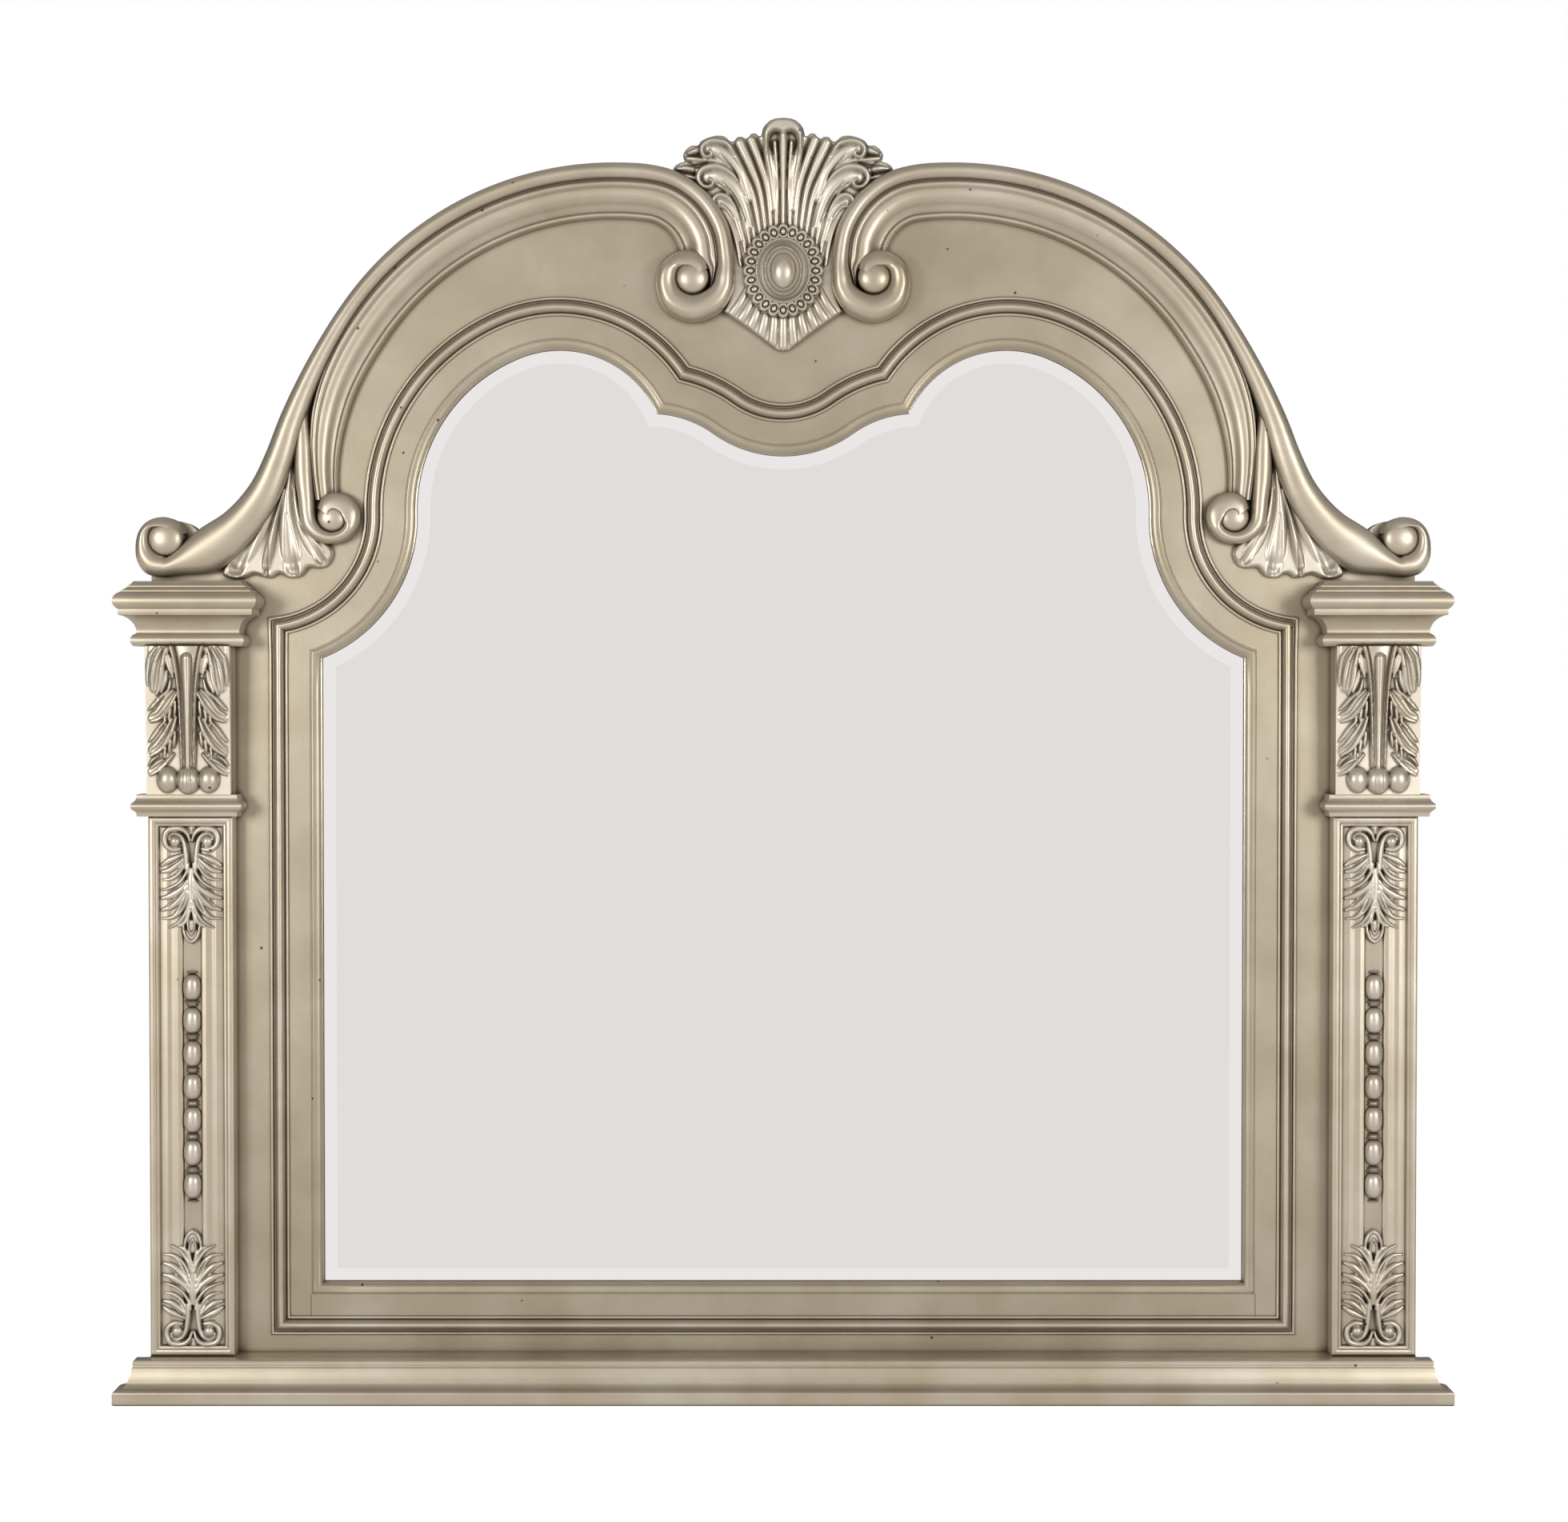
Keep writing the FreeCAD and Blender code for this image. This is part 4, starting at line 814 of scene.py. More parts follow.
@dataclass
class GlassFrame(Part):
    """Inner frame with a small hollow lip over the glass, and the bead that covers its joint."""

    sight: SightLine = SightLine()
    lip: float = 9.0
    joint: float = 38.0
    back: float = -24.0
    pitch: float = 4.0
    # middle of the line where a side piece stands beside the bottom rail, and the width of that line
    butt_x: float = 448.8
    butt_wide: float = 0.6
    # reach of that line over the flat band, away from the glass, and its lower and upper level
    butt_reach: Point = (10.2, 30.4)
    butt_level: Point = (-0.6, 0.34)

    def scribe(self, x: float) -> Solid:
        """Make the glaze-filled line of one butt joint.

        Args:
            x: Middle of the line.

        Returns:
            Points in metres and faces.
        """
        half = self.butt_wide / 2
        side = np.array([[x - half, x + half, x + half, x - half]] * 2)
        low, high = self.butt_level
        level = np.array([[low, low, high, high]] * 2)
        length = SIGHT_BOTTOM - np.array([[reach] * 4 for reach in self.butt_reach[::-1]])
        return self.shop.world(side, length, level).reshape(-1, 3), self.shop.tube(2, 4)

    def lip_section(self) -> Array:
        """Section of the frame: wall over the glass, sloping lip, thin line, flat band, rabbet."""
        return section([
            (0, -10), (-0.4, -9.2), (0.4, -5.4), (1.4, -4.2), (4, -2.6, 7.6, -2.2), (8.6, -1.6), (9, -0.5),
            (9.6, -0.5), (10.2, 0.3), (30.4, 0.3), (31, -0.6), (self.joint, -0.6), (self.joint, self.back),
            (10, self.back), (10, -10)], 5)

    def bead_section(self) -> Array:
        """Section of the bead: thin light edge, quirk, full roll, quirk, fillet."""
        return section([
            (30.6, -0.8), (30.6, 1.2), (31.2, 2.3, 32.4, 2.5), (33.2, 1.9), (33.9, 0.9), (34.4, 2.3), (36, 5.4),
            (38.8, 7.3, 41.6, 5.9), (43.3, 3.2), (44.1, 0.8), (45, 0.7), (45.6, 2.3), (47, 3.2, 48.4, 2.2), (49, 0.6),
            (49.2, -0.8)], 5)

    def build(self) -> None:
        """Make the frame in one run, its butt joints scribed, and the bead."""
        shop, looks = self.shop, self.looks
        shape = self.lip_section()
        ring, rows = self.sight.ring(shop, shape, self.pitch, self.joint)
        verts, faces = gather([(ring.reshape(-1, 3), shop.tube(rows, len(shape), ring=True)),
                               self.scribe(-self.butt_x), self.scribe(self.butt_x)])
        hollow = (np.arange(len(verts)) >= rows * len(shape)).astype(float)
        # the frame takes the darker copy of the paint, which is painted shade
        shop.piece("glass_frame", verts, faces, looks.flat, "champagne_wood",
                   ("sight_frame_top", "sight_frame_left", "sight_frame_right", "sight_frame_bottom"), hollow)
        shape = self.bead_section()
        verts, rows = self.sight.ring(shop, shape, self.pitch, self.joint)
        shop.piece("bead_moulding", verts.reshape(-1, 3), shop.tube(rows, len(shape), ring=True), looks.along,
                   "champagne_wood", ("bead_top", "bead_left", "bead_right", "bead_bottom"))


class Tool(Enum):
    """How a carving stroke is shaped across."""

    ROUND = "round"
    SOFT = "soft"
    RIDGE = "ridge"
    GOUGE = "gouge"


@dataclass(frozen=True)
class Stroke:
    """One stroke of the carver: points (x, z, half width, rise), and the shape across it."""

    points: tuple[Station, ...]
    tool: Tool = Tool.ROUND
    cut: bool = False
    twin: bool = False

    def vein(self) -> "Stroke":
        """Give the fine cut that runs down the middle of this stroke."""
        points = tuple((x, z, max(0.6, 0.3 * wide), 0.3 * rise) for x, z, wide, rise in self.points[1:])
        return Stroke(points, Tool.SOFT, True, self.twin)


def one(*points: Station, tool: Tool = Tool.ROUND) -> Stroke:
    """Raise a single stroke."""
    return Stroke(points, tool)


def two(*points: Station, tool: Tool = Tool.ROUND) -> Stroke:
    """Raise a stroke and its mirror image."""
    return Stroke(points, tool, twin=True)


def slit(*points: Station, twin: bool = True) -> Stroke:
    """Cut a soft groove, and its mirror image where twin is set."""
    return Stroke(points, Tool.SOFT, True, twin)


def mirrored(half: tuple[Point, ...]) -> Array:
    """Give the smooth closed outline whose right half runs through these points."""
    line = smooth_line(half, 4)
    return np.concatenate([line, (line * [-1, 1])[-2:0:-1]])


class Relief:
    """A carved front: a grid of heights that strokes raise or cut, closed with a flat back."""

    def __init__(self, low: Point, high: Point, cell: float, ground: float, swell: float = 1.0,
                 lift: float = 1.0) -> None:
        """Lay the grid.

        Args:
            low: Lowest x and z.
            high: Highest x and z.
            cell: Size of a cell.
            ground: Height of the untouched surface.
            swell: Factor on the width of every stroke.
            lift: Factor on the rise of every stroke.
        """
        self.swell, self.lift = swell, lift
        nx = int(math.ceil((high[0] - low[0]) / cell)) + 1
        nz = int(math.ceil((high[1] - low[1]) / cell)) + 1
        self.xs = np.linspace(low[0], high[0], nx)
        self.zs = np.linspace(low[1], high[1], nz)
        self.x, self.z = np.meshgrid(self.xs, self.zs)
        self.h = np.full(self.x.shape, float(ground))
        self.inside = np.full(self.x.shape, FAR)
        self.cell = cell

    @staticmethod
    def beside(x: Array, z: Array, a: Array, b: Array) -> tuple[Array, Array]:
        """Give how far along the span from a to b each point lies, 0 to 1, and its distance.

        Args:
            x: Places of the points.
            z: Places of the points.
            a: Start of the span.
            b: End of the span.

        Returns:
            Shares of the span and distances to it.
        """
        d = b[:2] - a[:2]
        t = np.clip(((x - a[0]) * d[0] + (z - a[1]) * d[1]) / max(d @ d, 1e-9), 0, 1)
        return t, np.hypot(x - a[0] - t * d[0], z - a[1] - t * d[1])

    @staticmethod
    def corners(grid: Array) -> Array:
        """Stack the four corner values of every cell."""
        return np.stack([grid[:-1, :-1], grid[1:, :-1], grid[:-1, 1:], grid[1:, 1:]])

    def spans(self, line: Array) -> tuple[Array, Array, Array, tuple[slice, slice]]:
        """Measure every near cell's distance to a line.

        Args:
            line: Points (n, 4) of x, z, half width and rise.

        Returns:
            Distances, half widths and rises, and the part of the grid that they cover.
        """
        spare = line[:, 2].max() + 2 * self.cell
        i0, i1 = np.searchsorted(self.xs, [line[:, 0].min() - spare, line[:, 0].max() + spare])
        j0, j1 = np.searchsorted(self.zs, [line[:, 1].min() - spare, line[:, 1].max() + spare])
        part = (slice(j0, j1), slice(i0, i1))
        x, z = self.x[part], self.z[part]
        best = np.full(x.shape, FAR)
        width, rise = np.zeros(x.shape), np.zeros(x.shape)
        for a, b in zip(line[:-1], line[1:]):
            t, gap = self.beside(x, z, a, b)
            near = gap < best
            best = np.where(near, gap, best)
            width = np.where(near, a[2] + t * (b[2] - a[2]), width)
            rise = np.where(near, a[3] + t * (b[3] - a[3]), rise)
        return best, np.maximum(width, 1e-3), rise, part

    def carve(self, strokes: tuple[Stroke, ...], base: float = 0.0) -> None:
        """Add strokes in order, each with its mirror image where it has one.

        Args:
            strokes: The strokes.
            base: Height from which their rise counts.
        """
        for stroke, way in [(stroke, way) for stroke in strokes for way in ((1, -1) if stroke.twin else (1,))]:
            line = smooth_line([(way * p[0], p[1], p[2] * self.swell, p[3] * self.lift) for p in stroke.points], 7)
            gap, width, rise, part = self.spans(line)
            share = np.clip(gap / width, 0, 1)
            if stroke.tool is Tool.ROUND:
                shape = np.sqrt(np.maximum(1 - share ** 2, 0))
            elif stroke.tool is Tool.SOFT:
                shape = (1 - share ** 2) ** 2
            elif stroke.tool is Tool.RIDGE:
                shape = 1 - share ** 1.3
            else:
                shape = (0.55 + 0.45 * share ** 2) * np.sqrt(np.maximum(1 - share ** 8, 0))
            now = self.h[part]
            if stroke.cut:
                self.h[part] = now - rise * shape * (gap < width)
            else:
                self.h[part] = np.where(gap < width, np.maximum(now, base + rise * shape), now)

    def depth(self, outline: Array) -> Array:
        """Measure how far each point lies inside a closed line.

        Args:
            outline: Points (n, 2) round the area.

        Returns:
            Distances to the line, negative outside it.
        """
        best = np.full(self.x.shape, FAR)
        odd = np.zeros(self.x.shape, bool)
        for a, b in zip(outline, np.roll(outline, -1, 0)):
            best = np.minimum(best, self.beside(self.x, self.z, a, b)[1])
            if a[1] != b[1]:
                cross = (self.z < a[1]) != (self.z < b[1])
                odd ^= cross & (self.x < a[0] + (self.z - a[1]) / (b[1] - a[1]) * (b[0] - a[0]))
        return np.where(odd, best, -best)

    def fill(self, outline: Array, height: float, edge: float = 3.0) -> None:
        """Raise an area to a height with a rounded edge.

        Args:
            outline: Points (n, 2) round the area.
            height: Height of the area.
            edge: Width of the rounding.
        """
        share = np.clip(self.depth(outline) / edge, 0, 1)
        raised = height * np.sqrt(1 - (1 - share) ** 2)
        self.h = np.where(share > 0, np.maximum(self.h, raised), self.h)

    def soften(self) -> None:
        """Round the edges of the carving a little, as paint does."""
        p = np.pad(self.h, 1, "edge")
        self.h = (4 * p[1:-1, 1:-1] + 2 * (p[:-2, 1:-1] + p[2:, 1:-1] + p[1:-1, :-2] + p[1:-1, 2:])
                  + p[:-2, :-2] + p[:-2, 2:] + p[2:, :-2] + p[2:, 2:]) / 16

    def hollows(self, reach: float, depth: float) -> Array:
        """Tell how deep each point lies under its surroundings.

        Args:
            reach: Radius of the surroundings.
            depth: Depth that counts as one.

        Returns:
            Shares from 0 to 1 on the grid.
        """
        blur = self.h.copy()
        steps = max(1, int(reach / self.cell))
        for axis in (0, 1):
            for _ in range(2):
                p = np.pad(blur, [(steps, steps) if a == axis else (0, 0) for a in (0, 1)], "edge")
                total = np.cumsum(p, axis)
                total = np.concatenate([np.zeros_like(np.take(total, [0], axis)), total], axis)
                count, wide = blur.shape[axis], 2 * steps + 1
                blur = (np.take(total, range(wide, wide + count), axis) - np.take(total, range(count), axis)) / wide
        return np.clip((blur - self.h) / depth, 0, 1)

    def close(self, shop: Workshop, back: float, keep: Array | None = None, reach: float = 3.0,
              depth: float = 1.6) -> tuple[Array, list, Array]:
        """Turn the grid into a closed mesh.

        Args:
            shop: The workshop.
            back: Height of the flat back.
            keep: Cells to keep besides the outline, or None.
            reach: Radius over which hollows are measured.
            depth: Depth of a full hollow.

        Returns:
            Points in metres, faces, and the cavity share of each point.
        """
        x, z = self.x.copy(), self.z.copy()
        hollow = self.hollows(reach, depth)
        cells = self.corners(self.inside).sum(0) > 0
        if keep is not None:
            cells &= keep
        if self.inside.max() < FAR:
            gz, gx = np.gradient(self.inside, self.zs, self.xs)
            square = np.maximum(gx ** 2 + gz ** 2, 0.2)
            near = self.corners(np.pad(cells, 1))
            rim = near.any(0) & ~near.all(0)
            limit = 1.2 * self.cell
            x = np.where(rim, x - np.clip(self.inside * gx / square, -limit, limit), x)
            z = np.where(rim, z - np.clip(self.inside * gz / square, -limit, limit), z)
        j, i = np.nonzero(cells)
        wide = self.x.shape[1]
        corner = np.stack([j * wide + i, j * wide + i + 1, (j + 1) * wide + i + 1, (j + 1) * wide + i], 1)
        used, flat = np.unique(corner, return_inverse=True)
        quads = flat.reshape(-1, 4)
        px, pz, ph = x.ravel()[used], z.ravel()[used], self.h.ravel()[used]
        front = shop.world(px, pz, ph)
        edges = np.concatenate([quads[:, [k, (k + 1) % 4]] for k in range(4)])
        ahead = {(int(a), int(b)) for a, b in edges}
        after = {a: b for a, b in ahead if (b, a) not in ahead}
        rim_ids = sorted(after)
        low = {a: len(used) + n for n, a in enumerate(rim_ids)}
        rear = shop.world(px[rim_ids], pz[rim_ids], np.full(len(rim_ids), back))
        faces = quads.tolist() + [[b, a, low[a], low[b]] for a, b in after.items()]
        left = set(rim_ids)
        while left:
            start = min(left)
            loop = [start]
            left.discard(start)
            while after[loop[-1]] != start:
                loop.append(after[loop[-1]])
                left.discard(loop[-1])
            faces.append([low[a] for a in reversed(loop)])
        share = np.concatenate([hollow.ravel()[used], np.zeros(len(rim_ids))])
        return np.concatenate([front, rear]), faces, share


def between(line: Array, share: Array) -> tuple[Array, Array]:
    """Give the x and z of points at these shares between the two edges of a line's stations."""
    return (line[:, None, 0] + share * (line[:, None, 2] - line[:, None, 0]),
            line[:, None, 1] + share * (line[:, None, 3] - line[:, None, 1]))


@dataclass(frozen=True)
class Ribbon:
    """A roll that follows two edges: stations of left point, right point, rise and lean."""

    stations: list[tuple[float, float, float, float, float, float]]
    steps: int
    across: int
    foot: float

    def build(self, shop: Workshop) -> Solid:
        """Make the closed mesh of the roll.

        Args:
            shop: The workshop.

        Returns:
            Points in metres and faces.
        """
        line = smooth_line(self.stations, self.steps)
        share = np.linspace(0.0, 1.0, self.across)
        x, z = between(line, share)
        rise, lean = line[:, None, 4], line[:, None, 5]
        low = np.where(share < lean, share / lean, (1 - share) / (1 - lean))
        bow = np.sqrt(np.clip(1 - (1 - low) ** 2, 0, 1))
        top = shop.world(x, z, rise * (self.foot + (1 - self.foot) * bow))
        base = shop.world(x[:, [-1, 0]], z[:, [-1, 0]], np.full((len(line), 2), SUNK))
        verts = np.concatenate([top, base], 1)
        rows, wide = verts.shape[:2]
        return verts.reshape(-1, 3), shop.tube(rows, wide)


def dome(shop: Workshop, x: float, z: float, h: float, radius: float, rise: float, rings: int = 14,
         around: int = 40) -> Solid:
    """Make a closed ball-shaped boss whose lower part runs straight back.

    Args:
        shop: The workshop.
        x: Centre.
        z: Centre.
        h: Height at which the boss starts to round.
        radius: Its radius.
        rise: How far its crown stands above h.
        rings: Rings of points up to the crown.
        around: Points in a ring.

    Returns:
        Points in metres and faces.
    """
    turn = np.arange(around) * math.tau / around
    lift = np.linspace(0.0, math.pi / 2, rings)[:-1]
    radii = np.concatenate([[radius], radius * np.cos(lift)])
    heights = np.concatenate([[SUNK], h + rise * np.sin(lift)])
    ring_x = x + radii[:, None] * np.cos(turn)
    ring_z = z + radii[:, None] * np.sin(turn)
    verts = shop.world(ring_x, ring_z, heights[:, None] + 0 * turn).reshape(-1, 3)
    verts = np.concatenate([verts, shop.world(np.array([x]), np.array([z]), np.array([h + rise]))])
    top, last = len(verts) - 1, (len(radii) - 1) * around
    crown = [[last + c, last + (c + 1) % around, top] for c in range(around)]
    return verts, shop.tube(len(radii), around)[:-1] + crown


def gather(parts: list[Solid]) -> Solid:
    """Join several closed meshes, each turned outwards, into one list of points and faces.

    Args:
        parts: Points and faces of each.

    Returns:
        Points and faces of all.
    """
    verts, faces, count = [], [], 0
    for points, polygons in parts:
        faces += [[count + index for index in polygon] for polygon in outward(points, polygons)]
        verts.append(points)
        count += len(points)
    return np.concatenate(verts), faces


@dataclass
class ArchMoulding(Part):
    """Moulding of the arch: outer roll, second roll, cove and inner bead, and their three scrolls."""

    start: Point = (45.6, 1074.3)
    # radius and turn of the crest, the arch, the haunch and the sweep to the foot
    runs: tuple[Point, ...] = ((88.0, -83.3), (311.0, -62.1), (612.0, -14.7), (128.4, 43.8))
    roll: float = 16.7
    pitch: float = 4.0
    crest_eye: Point = (85.5, 1055.8)
    foot_eye: Point = (580.6, 811.3)
    inner_eye: Point = (424.5, 831.3)
    # height, radius and crown of the ball in each eye
    crest_ball: tuple[float, float, float] = (17.5, 15.4, 7.5)
    foot_ball: tuple[float, float, float] = (18.0, 16.4, 7.0)
    inner_ball: tuple[float, float, float] = (12.0, 14.0, 6.5)

    def line(self, tail: bool) -> Line:
        """Lay the outer edge from the crest to the haunch, or on to the foot."""
        return Line(*self.start, 90.0, [("arc", *run) for run in (self.runs if tail else self.runs[:2])])

    @staticmethod
    def off(eye: Point, angle: float, radius: float) -> Point:
        """Give the point at an angle in degrees and a distance from the eye of a scroll."""
        return eye[0] + radius * math.cos(math.radians(angle)), eye[1] + radius * math.sin(math.radians(angle))

    def members(self) -> Array:
        """Section of the members inside the outer roll."""
        return section([
            (self.roll - 1.2, 0), (self.roll - 1.2, 18), (17.2, 18.6), (17.8, 20), (19.8, 21.6, 22.6, 20.6),
            (24, 18.2), (25, 17.4), (31, 17, 37, 13.4), (41.4, 9.2, 45.2, 7.4), (46, 8.8), (48, 10.6, 50, 8.6),
            (50.8, 5), (51.2, 0)], 5)

    def outer_stations(self) -> list[tuple]:
        """Stations of the outer roll from the crest scroll over the arch to the foot scroll.

        Returns:
            Stations for a Ribbon.
        """
        ring = [(150, 17.5, 6, 0.92), (120, 22, 7, 0.92), (90, 26, 9, 0.92), (60, 29, 11, 0.86),
                (38, 31.2, 13.2, 0.62), (18, 33, 14.2, 0.45), (-15, 35, 14.4, 0.42), (-50, 39, 14.8, 0.42),
                (-90, 41, 15.2, 0.42), (-130, 41, 16.4, 0.42), (-160, 40.4, 19.6, 0.42)]
        found = [(*self.off(self.crest_eye, angle, outer), *self.off(self.crest_eye, angle, inner),
                  24.0 if lean > 0.6 else 26.0, lean) for angle, outer, inner, lean in ring]
        found.append((45.6, 1058.0, 64.2, 1057.0, 26.0, 0.42))
        rows = self.line(True).rows(np.array([0.0, -1.0]), 40.0)
        for index, (left, right) in enumerate(rows):
            share = index / (len(rows) - 1)
            wide = self.roll + (41.0 - self.roll) * max(0.0, (share - 0.62) / 0.38) ** 1.8
            inner = left + (right - left) * wide
            found.append((left[0], left[1], inner[0], inner[1], 25.0, 0.5 - 0.06 * share))
        # round the foot ball, from below it over the outside to its top
        ring = [(-105, 35.6, 15.6, 0.5), (-82, 36.4, 15.2, 0.5), (-60, 38, 15, 0.5), (-38, 34.6, 15, 0.5),
                (-15, 29.6, 15, 0.5), (10, 26.6, 15, 0.5), (32, 24.6, 15, 0.4), (52, 22.8, 13, 0.12),
                (75, 20.8, 10, 0.08), (100, 19.6, 8, 0.08), (135, 19.4, 6, 0.08), (165, 18.6, 5, 0.08)]
        # travel now has the ball on its left, so the outer edge of the ring is on the right
        return found + [(*self.off(self.foot_eye, angle, inner), *self.off(self.foot_eye, angle, outer),
                         25.0 - 2.5 * max(0.0, (angle - 30) / 135), lean) for angle, outer, inner, lean in ring]

    def scroll_stations(self) -> list[tuple]:
        """Stations of the C-roll that runs down to the inner scroll and round its ball.

        Returns:
            Stations for a Ribbon.
        """
        found = [(452, 962, 448.5, 960, 13, 0.5), (457.5, 932, 447.5, 930.5, 16, 0.5), (460, 903, 444, 902, 18, 0.5),
                 (460, 872, 442.5, 871, 19, 0.5), (457, 849, 441.6, 850, 19, 0.5)]
        ring = [(5, 31, 16, 0.5), (-20, 29.6, 14.4, 0.5), (-50, 27, 13.8, 0.5), (-85, 25, 13.6, 0.5),
                (-120, 24.5, 13.4, 0.5), (-150, 24.8, 13, 0.55), (-172, 25.4, 10.6, 0.85), (160, 26, 9, 0.92),
                (128, 25.4, 8, 0.92), (95, 24, 7, 0.92), (62, 21, 5, 0.92), (32, 17, 3, 0.92)]
        return found + [(*self.off(self.inner_eye, angle, outer), *self.off(self.inner_eye, angle, inner), 19, lean)
                        for angle, outer, inner, lean in ring]

    def lower(self) -> Solid:
        """Sweep the inner members from the crest scroll over the arch down to the inner scroll.

        Returns:
            Points in metres and faces.
        """
        shape = self.members()
        first, last = shape[0, 0], shape[-1, 0]
        stations = [(67.6, 1046, 70, 1047, 0.8), (64.6, 1056, 73, 1058, 0.86), (62, 1064, 80, 1068, 0.94)]
        for left, right in self.line(False).rows(np.array([-first, -last]), 30.0):
            stations.append((left[0], left[1], right[0], right[1], 1.0))
        stations += [(419.4, 994, 390.6, 973.6, 0.98), (433, 964, 403.6, 948, 0.94), (441.6, 934, 412.4, 922.6, 0.88),
                     (444.6, 904, 418, 897.6, 0.8), (443.4, 876, 420.4, 873, 0.74), (440, 848, 420, 846, 0.66)]
        line = smooth_line(stations, 8)
        share = (shape[:, 0] - first) / (last - first)
        verts = self.shop.world(*between(line, share), line[:, None, 4] * shape[:, 1])
        return verts.reshape(-1, 3), self.shop.tube(len(line), len(shape))

    def build(self) -> None:
        """Make the moulding of each side."""
        shop, looks = self.shop, self.looks
        verts, faces = gather([
            self.lower(), Ribbon(self.outer_stations(), 6, 20, 0.58).build(shop),
            Ribbon(self.scroll_stations(), 7, 16, 0.6).build(shop), dome(shop, *self.crest_eye, *self.crest_ball),
            dome(shop, *self.foot_eye, *self.foot_ball), dome(shop, *self.inner_eye, *self.inner_ball)])
        shop.pair("arch_moulding", verts, faces, looks.along, "champagne_resin", ("arch_moulding",))


@dataclass
class MouldedBlock(Part):
    """Moulding that wraps the front and both ends of a block, mitred at the corners."""

    name: str
    nodes: tuple[str, ...]
    low: float
    high: float
    back: float
    front: float
    bottom: float
    shape: tuple[tuple[float, ...], ...]
    paired: bool = True

    def build(self) -> None:
        """Make the moulding, on both sides where it is one of a pair."""
        shop, looks = self.shop, self.looks
        profile = section(self.shape, 9)
        corners = [(self.low, self.back, -1, 0), (self.low, self.front, -1, 1),
                   (self.high, self.front, 1, 1), (self.high, self.back, 1, 0)]
        spine: list[Array] = []
        for a, b in zip(corners[:-1], corners[1:]):
            cuts = max(2, int(abs(b[0] - a[0]) + abs(b[1] - a[1])) // 12)
            shares = np.linspace(0.0, 1.0, cuts + 1)[: None if b is corners[-1] else -1]
            spine += [self.station(a, b, share) for share in shares]
        rows = np.array(spine)
        reach, rise = profile[:, 0], profile[:, 1]
        x = rows[:, None, 0] + rows[:, None, 2] * reach
        h = rows[:, None, 1] + rows[:, None, 3] * reach
        z = self.bottom + rise + 0 * x
        verts = shop.world(x, z, h).reshape(-1, 3)
        faces = outward(verts, shop.tube(len(rows), len(profile)))
        make = shop.pair if self.paired else shop.piece
        make(self.name, verts, faces, looks.along, "champagne_wood", self.nodes)

    @staticmethod
    def station(a: tuple, b: tuple, share: float) -> Array:
        """Mix two corners, mitre directions too, so the ends of a run meet on the mitre."""
        return (1 - share) * np.array(a, float) + share * np.array(b, float)


@dataclass
class Pilaster(Part):
    """Pilaster board: rim with a bead, sunk panel with soft reeds, and a groove for the pearls."""

    rim: tuple[Point, ...] = ((0, 19.6), (0.5, 21), (1.6, 21.8), (4.2, 22), (6.2, 21.5), (7, 20.3), (7.6, 20),
        (9, 19.8), (9.8, 18.6), (10.4, 16.8), (10.9, 16.8))
    panel: tuple[Point, ...] = ((0, 15.4), (8.1, 15.4), (8.7, 17.2), (10, 17.8), (13.5, 18.2), (17.5, 17.3),
        (19.5, 17.2), (23, 18.1), (26.5, 17.5), (29.5, 16.8), (41, 16.8))
    end_zone: float = 12.0
    fine: float = 0.5
    coarse: float = 9.0
    groove_half: float = 8.0
    # painted shadow of the pearls along the floor of the groove
    groove_shadow: float = 0.34
    full_depth: float = 6.0

    def build(self) -> None:
        """Make both pilasters."""
        shop, looks = self.shop, self.looks
        at = shop.levels
        low, high = at.pilaster_bottom, at.pilaster_top
        board = Relief((-at.pilaster_half, low), (at.pilaster_half, high), self.fine, 0.0)
        ends = np.arange(0.0, self.end_zone, self.fine)
        middle = np.linspace(low + self.end_zone, high - self.end_zone, int((high - low) / self.coarse))
        board.zs = np.concatenate([low + ends, middle, (high - ends)[::-1]])
        board.x, board.z = np.meshgrid(board.xs, board.zs)
        board.inside = np.full(board.x.shape, FAR)
        edge = np.minimum(at.pilaster_half - np.abs(board.x), np.minimum(board.z - low, high - board.z))
        rim = np.interp(edge, *zip(*self.rim))
        panel = np.interp(np.abs(board.x), *zip(*self.panel))
        board.h = np.where(edge < self.rim[-1][0], rim, panel)
        board.x = board.x + at.pilaster_x
        verts, faces, hollow = board.close(shop, 0.0, depth=self.full_depth)
        across = np.abs(verts[:, 0] / MM - at.pilaster_x) < self.groove_half
        along = np.abs(verts[:, 2] / MM - (low + high) / 2) < (high - low) / 2 - self.end_zone
        # the floor of the groove darkened as painted shadow behind the pearls
        hollow = np.maximum(hollow, self.groove_shadow * (across & along))
        shop.pair("pilaster", verts, faces, looks.upright, "champagne_wood", ("pilaster",), hollow)


